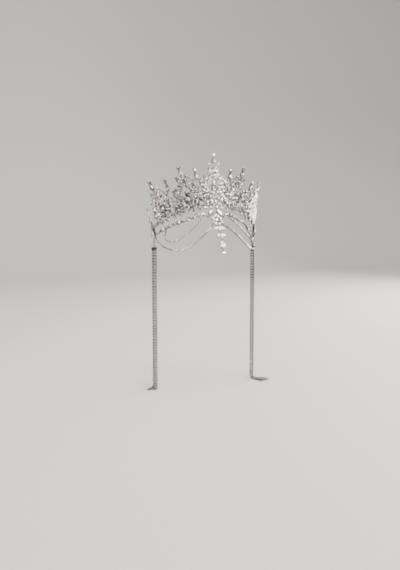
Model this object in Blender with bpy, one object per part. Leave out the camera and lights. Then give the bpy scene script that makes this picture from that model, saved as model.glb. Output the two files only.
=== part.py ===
"""Bridal crown with a forehead ornament, draped chains and two long tassels."""

from collections import namedtuple
from math import cos, hypot, pi, radians, sin, sqrt

import bmesh
import bpy
from mathutils import Matrix, Vector

mm = 0.001

# Clearance between separate pieces that touch, and how far two faces of one piece are set apart
# so that they don't lie in one plane
gap = 0.3 * mm
overlap = 0.1 * mm

# Clean-up of fused meshes: points this close are one, and faces this flat are one, in degrees
weld_distance = 0.05 * mm
flat_angle = 2

# Plan of the crown: a half ellipse over the forehead, going straight back behind the temples
half_width = 80 * mm
front_depth = 39 * mm
# The base line is an arch, highest over the nose
base_rise = 36 * mm
rise_power = 1.6
# The wall leans in at the front and flares out over the temples
front_lean = 0.035
temple_flare = 0.14
flare_power = 2.5

# Soldered openwork: thickness of each kind of flat stock
band_height = 3.6 * mm
band_thickness = 2.4 * mm
ring_band = 3.4 * mm
sheet = 1.6 * mm
strut_width = 1.5 * mm
foot_width = 2.6 * mm
cup_floor = 1.2 * mm
cup_wall = 0.5 * mm
cup_depth = 2.6 * mm
# How far out the stock sits that runs behind a stone's pocket
behind_pocket = cup_floor - cup_depth / 2 - sheet / 2 - overlap / 2

# How far soldered pieces run into each other
bite = 1.0 * mm

# Cut stones
leaf_length = 7.0 * mm
leaf_width = 3.4 * mm
round_size = 3.6 * mm
stone_rise = 1.1 * mm
loose_stone_rise = 1.5 * mm
pear_sharpness = 0.7
table_share = 0.6
back_share = 0.7
ring_pear_width = 5.6 * mm
ring_pear_height = 8.6 * mm
finial_pear_width = 4.7 * mm
finial_pear_height = 7.8 * mm
finial_round_size = 4.6 * mm
finial_neck = 1.4 * mm
flank_reach = 7.2 * mm
leaf_overlap = 1.0 * mm
ring_sharpness = 1.25
# How much more metal a pointed ring has at its tip than round its sides, as a share of its band
ring_tip_share = 1.4
ring_steps = 20
end_stone_width = 7.6 * mm
end_stone_height = 12.6 * mm
end_stone_inset = 4.76 * mm
end_lug_width = 3.0 * mm
end_stone_centre_height = -6.5 * mm

# Hanging stones along the lower edge of the band
edge_round_size = 4.2 * mm
edge_round_pitch = 8.8 * mm
edge_round_overlap = 1.0 * mm
edge_rounds_start = 4.4 * mm
edge_rounds_end = 80 * mm

# Each point of the crown: its place as a share of the half arc, its height above the base line,
# and for a palmette the outside width and height of its pointed ring and the ring's foot
CrownPoint = namedtuple("CrownPoint", "kind share height ring_width ring_height ring_foot")
crown_points = [
    CrownPoint("palmette", 0.0, 72.0 * mm, 22.7 * mm, 34.0 * mm, 14.5 * mm),
    CrownPoint("spire", 0.182, 53.6 * mm, 0, 0, 0),
    CrownPoint("palmette", 0.344, 62.4 * mm, 20.6 * mm, 35.0 * mm, 7.0 * mm),
    CrownPoint("spire", 0.531, 50.4 * mm, 0, 0, 0),
    CrownPoint("palmette", 0.698, 59.2 * mm, 19.0 * mm, 31.0 * mm, 6.5 * mm),
]

# Leaves on each side of a pointed ring: angle round the ring from its top, lean from the ring's
# axis, and length as a share of leaf_length
RingLeaf = namedtuple("RingLeaf", "around lean length")
ring_leaves = [
    RingLeaf(42, 38, 1.05),
    RingLeaf(78, 55, 1.05),
    RingLeaf(118, 78, 1.0),
]

# Leaves on each side of a spire: height as a share of the loop's foot, distance from the stem,
# lean and length as a share of leaf_length
SpireLeaf = namedtuple("SpireLeaf", "up across lean length")
spire_leaves = [
    SpireLeaf(0.14, 0.4 * mm, 56, 0.95),
    SpireLeaf(0.62, 0.4 * mm, 54, 0.9),
]
# V branches between neighbouring points
branch_sag = 4.0 * mm
branch_sag_inner = 1.3 * mm
branch_joins_ring = 70

# The open loop of a spire
loop_width = 10.2 * mm
loop_height = 13.0 * mm
loop_band = 1.5 * mm
loop_bite = 0.45 * mm
loop_steps = 14
loop_sharpness = 0.3
stem_leaf_share = 0.72

# End leaf over each temple
end_leaf_share = 0.965
end_leaf_width = 6.4 * mm
end_leaf_height = 17.0 * mm
end_leaf_tip = 32.0 * mm
end_leaf_band = 1.5 * mm
end_tip_length = 4.8 * mm

# Eyes and jump rings: wire radius, mean radius, and how far an eye sinks into its plate
wire = 0.35 * mm
eye_radius = 1.25 * mm
eye_sink = 0.8 * mm
link_radius = 1.9 * mm
tassel_links = 3

# Forehead ornament, hung from the middle of the base: where its cluster's middle is, how far it
# leans back from upright, and its stones about that middle
ornament_forward = front_depth + 12.0 * mm
ornament_height = base_rise - 22.6 * mm
ornament_lean = 35
ornament_stone_size = 6.4 * mm
ornament_pear_width = 7.2 * mm
ornament_pear_height = 10.8 * mm
ornament_pear_across = 6.4 * mm
ornament_pear_up = 12.4 * mm
ornament_pear_turn = 148
ornament_back = 1.2 * mm
top_lug_up = 16.9 * mm
lug_width = 2.5 * mm
lug_height = 4.0 * mm
link_round_clear = 0.4 * mm
bridge_height = 2.4 * mm
post_width = 2.2 * mm
post_height = 8.0 * mm
cluster_round_size = 4.0 * mm
cluster_reach = 6.4 * mm
cluster_rounds = 8

# Drop below the ornament: how far each piece leans back
fan_upper_lean = 41
fan_lower_lean = 33
drop_pear_lean = 20
drop_round_lean = 17
fan_round_size = 4.2 * mm
fan_leaf_length = 9.2 * mm
fan_leaf_width = 4.4 * mm
fan_leaf_turn = 117
fan_leaf_across = 4.2 * mm
fan_stem_length = 5.4 * mm
fan_stem_width = 3.2 * mm
fan_lower_share = 0.9
fan_bite = 0.8 * mm
drop_pear_width = 8.4 * mm
drop_pear_height = 11.6 * mm
drop_round_size = 5.4 * mm
drop_setting = 2.2 * mm

# The brow that the chains are draped on: an ellipsoid, and the chains' distance off it
brow_middle = Vector((0, 15 * mm, -40 * mm))
brow_radii = Vector((half_width - 4 * mm, front_depth + 53 * mm, 80 * mm))
chain_standoff = 2.4 * mm
swag_upper_size = 2.3 * mm
swag_lower_size = 3.0 * mm
unit_pitch = 15.0 * mm
unit_leaf_length = 8.0 * mm
unit_leaf_width = 4.2 * mm
unit_pear_length = 5.0 * mm
unit_pear_width = 3.6 * mm
unit_pear_turn = 34
unit_pear_along = 2.8 * mm
unit_pear_across = 1.7 * mm
chain_strip = 1.2 * mm
chain_strip_step = 5.5 * mm
route_spacing = 1.5 * mm

# Routes of the draped chains, from the middle to the temple: angle round the brow, and height
RoutePoint = namedtuple("RoutePoint", "angle height")
forehead_route = [
    RoutePoint(21, 20.0 * mm), RoutePoint(32, 16.5 * mm), RoutePoint(46, 10.8 * mm),
    RoutePoint(60, 5.5 * mm), RoutePoint(71, 0.0 * mm),
]
swag_upper_route = [
    RoutePoint(26, 9.5 * mm), RoutePoint(33, 1.0 * mm), RoutePoint(42, -9.0 * mm),
    RoutePoint(51, -16.3 * mm), RoutePoint(59, -16.8 * mm), RoutePoint(65.5, -12.0 * mm),
]
swag_lower_route = [
    RoutePoint(12, 1.5 * mm), RoutePoint(19, -6.0 * mm), RoutePoint(28, -16.5 * mm),
    RoutePoint(38, -25.5 * mm), RoutePoint(50, -28.5 * mm), RoutePoint(62, -26.0 * mm),
    RoutePoint(73, -19.5 * mm),
]
# Where the lower chain's ends sit: round the cluster from its top, and round the end stone from
# its foot towards the front
swag_joins_cluster = 128
swag_joins_end_stone = 40
swag_inner_reach = 7.8 * mm
# How far a chain's flat end stands off because it leaves at a slant
swag_upper_tilt = 0.2 * mm
swag_lower_tilt = 0.5 * mm

# Tassels: four strands of cup chain from a cap, hanging down to the surface, with their ends
# lying on it; the heading of each tassel's ends is measured from the front, to the right
floor_height = -231.6 * mm
strands = 4
strand_size = 2.6 * mm
strand_pitch = 1.95 * mm
strand_stagger = 1.15 * mm
cap_height = 3.0 * mm
cap_margin = 0.4 * mm
bend_radius = 6.0 * mm
strand_fan = 9
left_tail_heading = -33
left_tail_length = 17.0 * mm
right_tail_heading = 35
right_tail_length = 27.0 * mm


def add_object(name, mesh, finish=None):
    item = bpy.data.objects.new(name, mesh)
    bpy.context.scene.collection.objects.link(item)
    if finish:
        mesh.materials.clear()
        mesh.materials.append(finish)
    return item


def make_finish(name, colour, roughness, metallic):
    finish = bpy.data.materials.new(name)
    finish.use_nodes = True
    shader = finish.node_tree.nodes["Principled BSDF"]
    shader.inputs["Base Color"].default_value = (*colour, 1)
    shader.inputs["Roughness"].default_value = roughness
    shader.inputs["Metallic"].default_value = metallic
    return finish


# The crown's wall

def arc_lengths(steps=240):
    table = [(0.0, 0.0)]
    length = 0.0
    for step in range(steps):
        middle = (step + 0.5) / steps * pi / 2
        length += hypot(half_width * cos(middle), front_depth * sin(middle)) * pi / 2 / steps
        table.append((length, (step + 1) / steps * pi / 2))
    return table


arc_table = arc_lengths()
half_arc = arc_table[-1][0]
end_stone_along = half_arc - end_stone_inset


def plan_angle(along):
    low = 0
    high = len(arc_table) - 1
    while high - low > 1:
        middle = (low + high) // 2
        if arc_table[middle][0] <= along:
            low = middle
        else:
            high = middle
    start, start_angle = arc_table[low]
    end, end_angle = arc_table[high]
    return start_angle + (end_angle - start_angle) * (along - start) / (end - start)


def base_height(along):
    share = min(abs(along) / half_arc, 1)
    return base_rise * (1 - share ** rise_power)


def base_slope(along):
    share = min(abs(along) / half_arc, 1)
    slope = -base_rise * rise_power / half_arc * share ** (rise_power - 1)
    return slope if along >= 0 else -slope


def wall_point(along, height, outward):
    side = 1 if along >= 0 else -1
    reach = min(abs(along), half_arc)
    angle = plan_angle(reach)
    share = reach / half_arc
    lean = (height - base_height(along)) * (temple_flare * share ** flare_power - front_lean)
    across = hypot(front_depth * sin(angle), half_width * cos(angle))
    out_x = front_depth * sin(angle) / across
    out_y = -half_width * cos(angle) / across
    x = half_width * sin(angle) + out_x * (outward + lean)
    y = -front_depth * cos(angle) + out_y * (outward + lean) + (abs(along) - reach)
    return Vector((side * x, y, height))


def bend_onto_wall(mesh):
    for vertex in mesh.vertices:
        vertex.co = wall_point(vertex.co.x, vertex.co.z, -vertex.co.y)
    mesh.update()


# Flat work, drawn unrolled: x along the wall, z up, and the front at -y

def flat_matrix(along, height, turn, outward=0.0):
    c = cos(turn)
    s = sin(turn)
    return Matrix((
        (c, s, 0, along),
        (0, 0, -1, -outward),
        (-s, c, 0, height),
        (0, 0, 0, 1),
    ))


class Axis:
    """The upright axis of one point of the crown, square to the base line."""

    def __init__(self, along):
        self.along = along
        self.height = base_height(along)
        slope = base_slope(along)
        length = hypot(1, slope)
        self.across = Vector((1, slope)) / length
        self.up = Vector((-slope, 1)) / length
        self.turn = Vector((0, 1)).angle_signed(self.up)

    def place(self, across, up):
        return Vector((self.along, self.height)) + self.across * across + self.up * up

    def matrix(self, across, up, turn=0.0, outward=0.0):
        spot = self.place(across, up)
        return flat_matrix(spot.x, spot.y, self.turn + turn, outward)


# Outlines, as points in millimetres of the finished size, counter-clockwise from the right

def oval_outline(width, height, sides):
    angles = [2 * pi * step / sides for step in range(sides)]
    return [(width / 2 * cos(angle), height / 2 * sin(angle)) for angle in angles]


def leaf_outline(width, length, sides=8):
    radius = (length ** 2 + width ** 2) / (4 * width)
    half_side = sides // 2
    tip_angle = Vector((radius - width / 2, length / 2)).angle(Vector((1, 0)))
    points = []
    for side in (1, -1):
        for step in range(half_side):
            angle = side * tip_angle * (2 * step / half_side - 1)
            x = side * (radius * cos(angle) - radius + width / 2)
            points.append((x, radius * sin(angle)))
    return points


def drop_outline(width, height, sides, sharpness=1.0):
    peak = 2 * sqrt((sharpness + 1) / (sharpness + 2)) ** (sharpness + 1) / sqrt(sharpness + 2)
    points = []
    for step in range(sides):
        angle = -2 * pi * step / sides
        x = sin(angle) * abs(sin(angle / 2)) ** sharpness / peak * width / 2
        points.append((x, cos(angle) * height / 2))
    return points


def cut_corner_outline(size, cut=0.28):
    near = size / 2
    far = near * (1 - 2 * cut)
    return [
        (near, -far), (near, far), (far, near), (-far, near),
        (-near, far), (-near, -far), (-far, -near), (far, -near),
    ]


def face_outward(form):
    bmesh.ops.recalc_face_normals(form, faces=form.faces)
    if form.calc_volume(signed=True) < 0:
        bmesh.ops.reverse_faces(form, faces=form.faces)


def plate(name, outlines, thickness, matrix):
    curve = bpy.data.curves.new(name, "CURVE")
    curve.dimensions = "2D"
    curve.fill_mode = "BOTH"
    curve.extrude = thickness / 2
    for outline in outlines:
        spline = curve.splines.new("POLY")
        spline.points.add(len(outline) - 1)
        for point, (x, y) in zip(spline.points, outline):
            point.co = (x, y, 0, 1)
        spline.use_cyclic_u = True
    return solid_from_curve(name, curve, matrix)


def solid_from_curve(name, curve, matrix=None):
    holder = bpy.data.objects.new(name, curve)
    bpy.context.scene.collection.objects.link(holder)
    scene_now = bpy.context.evaluated_depsgraph_get()
    mesh = bpy.data.meshes.new_from_object(holder.evaluated_get(scene_now))
    bpy.data.objects.remove(holder)
    if matrix:
        mesh.transform(matrix)
    form = bmesh.new()
    form.from_mesh(mesh)
    bmesh.ops.remove_doubles(form, verts=form.verts, dist=weld_distance / 5)
    face_outward(form)
    form.to_mesh(mesh)
    form.free()
    return add_object(name, mesh)


def tiered(name, outline, tiers, matrix):
    """A cut stone or cup: the outline at each tier's share of its size and height, capped."""
    form = bmesh.new()
    share, height = tiers[0]
    corners = [form.verts.new((x * share, y * share, height)) for x, y in outline]
    top = form.faces.new(corners)
    for number, (share, height) in enumerate(tiers[1:]):
        below = top
        raised = bmesh.ops.extrude_face_region(form, geom=[below])
        top = next(item for item in raised["geom"] if isinstance(item, bmesh.types.BMFace))
        if number > 0 and below.is_valid:
            bmesh.ops.delete(form, geom=[below], context="FACES_ONLY")
        centre = Vector((0, 0, height))
        for corner, point in zip(sorted_like(top, outline), outline):
            corner.co = Vector((point[0] * share, point[1] * share, 0)) + centre
    form.transform(matrix)
    face_outward(form)
    mesh = bpy.data.meshes.new(name)
    form.to_mesh(mesh)
    form.free()
    return add_object(name, mesh)


def sorted_like(face, outline):
    corners = list(face.verts)
    reach = max(hypot(x, y) for x, y in outline)
    size = max(hypot(corner.co.x, corner.co.y) for corner in corners)
    ordered = []
    for x, y in outline:
        target = Vector((x, y)) * (size / reach)
        ordered.append(min(corners, key=lambda corner: (corner.co.xy - target).length))
    return ordered


def set_stone(name, outline, thickness, matrix, girdle=False):
    """A small stone in its closed setting, all one piece."""
    tiers = [(1, -thickness / 2), (table_share, thickness / 2 + stone_rise)]
    if girdle:
        tiers.insert(1, (1, thickness / 2))
    return tiered(name, outline, tiers, matrix)


def cup(name, outline, matrix):
    """An open setting for a separate stone: a wall round a pocket."""
    widest = max(hypot(x, y) for x, y in outline)
    grown = 1 + (gap + cup_wall) / widest
    inner = 1 + gap / widest
    top = cup_depth / 2
    tiers = [(grown, -top), (grown, top), (inner, top), (inner, cup_floor - top)]
    return tiered(name, outline, tiers, matrix)


def loose_stone(name, outline, matrix, finish):
    """A separate stone in its cup: pointed back, girdle, crown facets and table."""
    back = cup_floor - cup_depth / 2 + gap
    girdle = cup_depth / 2
    tiers = [(back_share, back), (1, girdle), (table_share, girdle + loose_stone_rise)]
    stone = tiered(name, outline, tiers, matrix)
    stone.data.materials.append(finish)
    return stone


def strut(name, start, end, width=strut_width, outward=0.0):
    middle = (start + end) / 2
    run = end - start
    turn = Vector((0, 1)).angle_signed(run)
    half = run.length / 2 + width / 4
    outline = [(width / 2, -half), (width / 2, half), (-width / 2, half), (-width / 2, -half)]
    return plate(name, [outline], sheet, flat_matrix(middle.x, middle.y, turn, outward))


def fuse(name, pieces, finish):
    """Join overlapping solids into one."""
    base = pieces[0]
    others = bpy.data.collections.new(name + " pieces")
    bpy.context.scene.collection.children.link(others)
    for piece in pieces[1:]:
        for holder in piece.users_collection:
            holder.objects.unlink(piece)
        others.objects.link(piece)
    join = base.modifiers.new("Join", "BOOLEAN")
    join.operation = "UNION"
    join.operand_type = "COLLECTION"
    join.collection = others
    scene_now = bpy.context.evaluated_depsgraph_get()
    mesh = bpy.data.meshes.new_from_object(base.evaluated_get(scene_now))
    for piece in pieces:
        bpy.data.objects.remove(piece)
    bpy.data.collections.remove(others)
    form = bmesh.new()
    form.from_mesh(mesh)
    bmesh.ops.remove_doubles(form, verts=form.verts, dist=weld_distance)
    bmesh.ops.dissolve_degenerate(form, edges=form.edges, dist=weld_distance / 5)
    bmesh.ops.dissolve_limit(form, angle_limit=radians(flat_angle), verts=form.verts,
                             edges=form.edges)
    bmesh.ops.triangulate(form, faces=form.faces)
    form.to_mesh(mesh)
    form.free()
    mesh.name = name
    return add_object(name, mesh, finish)


# Fused work on one point of the crown

def finial(axis, top):
    """A round and a pear in open settings, joined by a neck."""
    round_reach = finial_round_size / 2
    pear_reach = finial_pear_height / 2 + gap + cup_wall
    round_up = top - round_reach
    pear_up = round_up - round_reach - finial_neck - pear_reach
    pieces = [
        set_stone("finial round", round_outline(finial_round_size), sheet,
                  axis.matrix(0, round_up)),
        cup("pear cup", finial_outline(), axis.matrix(0, pear_up)),
    ]
    neck_foot = axis.place(0, pear_up + pear_reach - 2 * bite)
    pieces.append(strut("neck", neck_foot, axis.place(0, round_up - round_reach + bite),
                        outward=behind_pocket))
    return pieces, round_up, pear_up


def finial_foot(point_height):
    tall = finial_round_size + finial_neck + finial_pear_height + 2 * (gap + cup_wall)
    return point_height - tall


def round_outline(size, sides=8):
    return oval_outline(size, size, sides)


def finial_outline():
    return drop_outline(finial_pear_width, finial_pear_height, 8, pear_sharpness)


def ring_pear_outline():
    return drop_outline(ring_pear_width, ring_pear_height, 8, pear_sharpness)


def ring_pear_up(point):
    return point.ring_foot + ring_band + ring_pear_height / 2 + gap


def ring_side(point, around):
    """How far out and up the pointed ring's edge is, at an angle from its top."""
    spreads = [sin(a * pi / 180) * sin(a * pi / 360) ** ring_sharpness for a in range(1, 180)]
    spread = sin(around) * sin(around / 2) ** ring_sharpness / max(spreads)
    middle = point.ring_foot + point.ring_height / 2
    return spread * point.ring_width / 2, middle + cos(around) * point.ring_height / 2


def palmette(axis, point):
    middle = point.ring_foot + point.ring_height / 2
    inner_height = point.ring_height - (2 + ring_tip_share) * ring_band
    outside = drop_outline(point.ring_width, point.ring_height, ring_steps, ring_sharpness)
    inside = drop_outline(point.ring_width - 2 * ring_band, inner_height, ring_steps,
                          ring_sharpness)
    inside = [(x, y - ring_tip_share / 2 * ring_band) for x, y in inside]
    pieces = [plate("ring", [outside, inside], sheet, axis.matrix(0, middle))]
    pieces.append(cup("ring pear cup", ring_pear_outline(), axis.matrix(0, ring_pear_up(point))))
    for leaf in ring_leaves:
        around = radians(leaf.around)
        length = leaf_length * leaf.length
        x, y = ring_side(point, around)
        reach = length / 2 - leaf_overlap
        lean = radians(leaf.lean)
        for side in (1, -1):
            matrix = axis.matrix(side * (x + reach * sin(lean)), y + reach * cos(lean), side * lean)
            outline = leaf_outline(leaf_width, length)
            pieces.append(set_stone("leaf", outline, sheet, matrix))
    # Stem from the ring's point to the finial, and an arm to a round on each side
    ring_top = point.ring_foot + point.ring_height
    foot = finial_foot(point.height)
    pieces.append(strut("stem", axis.place(0, ring_top - 3 * bite), axis.place(0, foot + gap)))
    for side in (1, -1):
        flank = axis.place(side * flank_reach, foot)
        pieces.append(strut("arm", axis.place(0, ring_top - 2 * bite), flank))
        pieces.append(set_stone("flank round", round_outline(round_size), sheet,
                                axis.matrix(side * flank_reach, foot)))
    foot_top = axis.place(0, point.ring_foot + 1.5 * bite)
    pieces.append(strut("foot", axis.place(0, 0), foot_top, foot_width))
    pieces += finial(axis, point.height)[0]
    return pieces


def spire(axis, point):
    foot = finial_foot(point.height)
    loop_up = foot + loop_bite - loop_height / 2
    outside = drop_outline(loop_width, loop_height, loop_steps, loop_sharpness)
    inside = drop_outline(loop_width - 2 * loop_band, loop_height - 2 * loop_band, loop_steps,
                          loop_sharpness)
    pieces = [plate("loop", [outside, inside], sheet, axis.matrix(0, loop_up))]
    loop_foot = loop_up - loop_height / 2
    pieces.append(strut("stem", axis.place(0, 0), axis.place(0, loop_foot + bite)))
    for leaf in spire_leaves:
        length = leaf_length * leaf.length
        reach = length / 2
        lean = radians(leaf.lean)
        for side in (1, -1):
            matrix = axis.matrix(side * (leaf.across + reach * sin(lean)),
                                 loop_foot * leaf.up + reach * cos(lean), side * lean)
            pieces.append(set_stone("leaf", leaf_outline(leaf_width, length), sheet, matrix))
    matrix = axis.matrix(0, loop_foot * stem_leaf_share)
    pieces.append(set_stone("stem leaf", leaf_outline(leaf_width, leaf_length), sheet, matrix))
    pieces += finial(axis, point.height)[0]
    return pieces


def branch(start, end, sag):
    """Two struts meeting in a V between neighbouring points."""
    low = (start + end) / 2 - Vector((0, sag))
    return [strut("branch", start, low), strut("branch", end, low)]


def band(side_steps=20):
    reach = half_arc
    half = band_height / 2
    steps = range(-side_steps, side_steps + 1)
    axes = [Axis(reach * step / side_steps) for step in steps]
    lower = [axis.place(0, -half) for axis in axes]
    upper = [axis.place(0, half) for axis in axes]
    outline = [(spot.x, spot.y) for spot in lower + upper[::-1]]
    return plate("band", [outline], band_thickness, flat_matrix(0, 0, 0))


def edge_rounds():
    pieces = []
    up = -(band_height + edge_round_size) / 2 + edge_round_overlap
    count = int((edge_rounds_end - edge_rounds_start) / edge_round_pitch) + 1
    for step in range(count):
        for side in (1, -1):
            axis = Axis(side * (edge_rounds_start + step * edge_round_pitch))
            pieces.append(set_stone("edge round", round_outline(edge_round_size), sheet,
                                    axis.matrix(0, up)))
    return pieces


def end_leaf(side):
    axis = Axis(side * end_leaf_share * half_arc)
    up = band_height / 2 + end_leaf_height / 2 - 0.8 * bite
    outside = leaf_outline(end_leaf_width, end_leaf_height, 16)
    inside = leaf_outline(end_leaf_width - 2 * end_leaf_band,
                          end_leaf_height - 5 * end_leaf_band, 16)
    pieces = [plate("end leaf", [outside, inside], sheet, axis.matrix(0, up))]
    body_top = up + end_leaf_height / 2
    pieces.append(strut("end neck", axis.place(0, body_top - 2 * bite),
                        axis.place(0, end_leaf_tip - 3 * bite)))
    matrix = axis.matrix(0, end_leaf_tip - end_tip_length / 2)
    pieces.append(set_stone("end tip", leaf_outline(end_tip_length / 2, end_tip_length), sheet,
                            matrix))
    return pieces


def end_stone_matrix(side):
    return flat_matrix(side * end_stone_along, end_stone_centre_height, 0)


def end_stone_outline():
    return oval_outline(end_stone_width, end_stone_height, 12)


def eye(name, matrix, radius=eye_radius):
    bpy.ops.mesh.primitive_torus_add(major_segments=10, minor_segments=5,
                                     major_radius=radius, minor_radius=wire)
    ring = bpy.context.object
    ring.name = name
    ring.data.transform(matrix)
    return ring


def eye_drop(edge):
    """The height of an eye sunk into an edge above it."""
    return edge - eye_radius - wire + eye_sink


def link_step(upper_radius, lower_radius):
    """From the middle of one ring to the middle of the next that hangs in it."""
    return upper_radius + lower_radius - 2 * wire - gap


def make_frame(finish):
    pieces = [band()]
    pieces += edge_rounds()
    for side in (1, -1):
        for point in crown_points:
            if point.share == 0 and side == -1:
                continue
            axis = Axis(side * point.share * half_arc)
            pieces += palmette(axis, point) if point.kind == "palmette" else spire(axis, point)
        pieces += end_leaf(side)
        pieces.append(cup("end stone cup", end_stone_outline(), end_stone_matrix(side)))
        cup_top = Vector((side * end_stone_along, end_stone_centre_height + end_stone_height / 2))
        pieces.append(strut("end lug", cup_top - Vector((0, 2 * mm)), cup_top + Vector((0, 2 * mm)),
                            end_lug_width, behind_pocket))
        pieces += side_branches(side)
        pieces += frame_eyes(side)
    frame = fuse("crown_frame", pieces, finish)
    bend_onto_wall(frame.data)
    return frame


def side_branches(side):
    axes = [Axis(side * point.share * half_arc) for point in crown_points]
    feet = [finial_foot(point.height) for point in crown_points]
    pieces = []
    for spire_number in (1, 3):
        top = axes[spire_number].place(0, feet[spire_number] - loop_bite)
        outer = axes[spire_number + 1].place(-side * flank_reach, feet[spire_number + 1])
        pieces += branch(top, outer, branch_sag)
        inner_point = crown_points[spire_number - 1]
        x, y = ring_side(inner_point, radians(branch_joins_ring))
        inner = axes[spire_number - 1].place(side * x, y)
        pieces += branch(top, inner, branch_sag_inner)
    return pieces


turn_upright = Matrix.Rotation(pi / 2, 4, "Y")
turn_level = Matrix.Rotation(pi / 2, 4, "X")


def ornament_eye_height():
    edge = base_height(edge_rounds_start) - band_height / 2 - edge_round_size + edge_round_overlap
    return eye_drop(edge)


def tassel_eye_height():
    return eye_drop(end_stone_centre_height - end_stone_height / 2 - gap - cup_wall)


def temple_eye_along():
    return end_stone_along + eye_drop(-end_stone_width / 2 - gap - cup_wall)


def frame_eyes(side):
    """Eyes for the ornament, the tassel's links and the forehead chain."""
    centre = Matrix.Translation((side * edge_rounds_start, 0, ornament_eye_height()))
    under = Matrix.Translation((side * end_stone_along, 0, tassel_eye_height()))
    front = Matrix.Translation((side * temple_eye_along(), 0, end_stone_centre_height))
    return [
        eye("ornament eye", centre @ turn_upright),
        eye("tassel eye", under @ turn_upright),
        eye("chain eye", front),
    ]


# Separate stones of the crown

def crown_stones(finish):
    for number, (row, along) in enumerate(point_places()):
        point = crown_points[row]
        axis = Axis(along)
        pear_up = finial_foot(point.height) + finial_pear_height / 2 + gap + cup_wall
        stones = [
            loose_stone("finial_pear_%d" % (number + 1), finial_outline(),
                        axis.matrix(0, pear_up), finish),
        ]
        if point.kind == "palmette":
            stones.append(loose_stone("ring_pear_%d" % (number + 1), ring_pear_outline(),
                                      axis.matrix(0, ring_pear_up(point)), finish))
        for stone in stones:
            bend_onto_wall(stone.data)
    for side, word in ((-1, "left"), (1, "right")):
        stone = loose_stone("end_stone_" + word, end_stone_outline(), end_stone_matrix(side), finish)
        bend_onto_wall(stone.data)


def point_places():
    """Every point from left to right: its row in the table and its place along the wall."""
    right = [(row, point.share * half_arc) for row, point in enumerate(crown_points)]
    left = [(row, -along) for row, along in right[:0:-1]]
    return left + right


# Forehead ornament and drop, drawn flat: x to the right, y up the piece, z to its front

def hung_matrix(forward, height, lean):
    c = cos(radians(lean))
    s = sin(radians(lean))
    return Matrix((
        (1, 0, 0, 0),
        (0, s, -c, -forward),
        (0, c, s, height),
        (0, 0, 0, 1),
    ))


def flat_spot(across, up, turn=0.0, front=0.0):
    return Matrix.Translation((across, up, front)) @ Matrix.Rotation(-turn, 4, "Z")


ornament_matrix = hung_matrix(ornament_forward, ornament_height, ornament_lean)


def ornament_pear_spot(side):
    return flat_spot(side * ornament_pear_across, ornament_pear_up,
                     side * radians(ornament_pear_turn))


def ornament_pear_outline():
    return drop_outline(ornament_pear_width, ornament_pear_height, 12, pear_sharpness)


def side_eye_spot(side):
    """The eye beyond the pointed end of an ornament pear."""
    turn = radians(ornament_pear_turn)
    reach = ornament_pear_height / 2 + gap + cup_wall - eye_drop(0)
    across = ornament_pear_across + reach * sin(turn)
    return flat_spot(side * across, ornament_pear_up + reach * cos(turn), side * turn)


def bottom_eye_up():
    return eye_drop(-cluster_reach - cluster_round_size / 2)


def make_ornament(metal, crystal):
    at = ornament_matrix
    back = plate("back", [oval_outline(2 * cluster_reach, 2 * cluster_reach, 16)], ornament_back,
                 at @ flat_spot(0, 0, front=-cup_depth / 2 + ornament_back / 2 - overlap))
    pieces = [back, cup("stone cup", cut_corner_outline(ornament_stone_size), at)]
    for number in range(cluster_rounds):
        angle = 2 * pi * (number + 0.5) / cluster_rounds
        spot = flat_spot(cluster_reach * sin(angle), cluster_reach * cos(angle))
        pieces.append(set_stone("cluster round", round_outline(cluster_round_size), cup_depth,
                                at @ spot))
    link_up = cluster_reach + round_size / 2 + link_round_clear
    pieces.append(set_stone("link round", round_outline(round_size), cup_depth,
                            at @ flat_spot(0, link_up)))
    pieces.append(plate("bridge", [oval_outline(2 * ornament_pear_across, bridge_height, 10)], sheet,
                        at @ flat_spot(0, ornament_pear_up, front=-sheet / 2)))
    pieces.append(plate("post", [oval_outline(post_width, post_height, 8)], sheet,
                        at @ flat_spot(0, link_up + 1.5 * bite)))
    for side in (1, -1):
        pieces.append(cup("pear cup", ornament_pear_outline(), at @ ornament_pear_spot(side)))
        hang = ornament_eye_height() - link_step(eye_radius, eye_radius)
        base = wall_point(side * edge_rounds_start, ornament_eye_height(), 0)
        top = Matrix.Translation((base.x, base.y - wire, hang)) @ turn_level
        pieces.append(eye("top eye", top))
        lug = flat_spot(side * (edge_rounds_start - gap), top_lug_up, front=-cup_depth / 2)
        pieces.append(plate("top lug", [oval_outline(lug_width, lug_height, 8)], sheet, at @ lug))
        pieces.append(eye("side eye", at @ side_eye_spot(side) @ turn_upright))
    lug_up = -cluster_reach - cluster_round_size / 2 + 1.2 * bite
    pieces.append(plate("bottom lug", [oval_outline(lug_width, 0.9 * lug_height, 8)], sheet,
                        at @ flat_spot(0, lug_up)))
    pieces.append(eye("bottom eye", at @ flat_spot(0, bottom_eye_up())))
    fuse("centre_ornament", pieces, metal)
    for side, word in ((-1, "left"), (1, "right")):
        loose_stone("ornament_pear_" + word, ornament_pear_outline(),
                    at @ ornament_pear_spot(side), crystal)
    loose_stone("ornament_stone", cut_corner_outline(ornament_stone_size), at, crystal)


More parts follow.
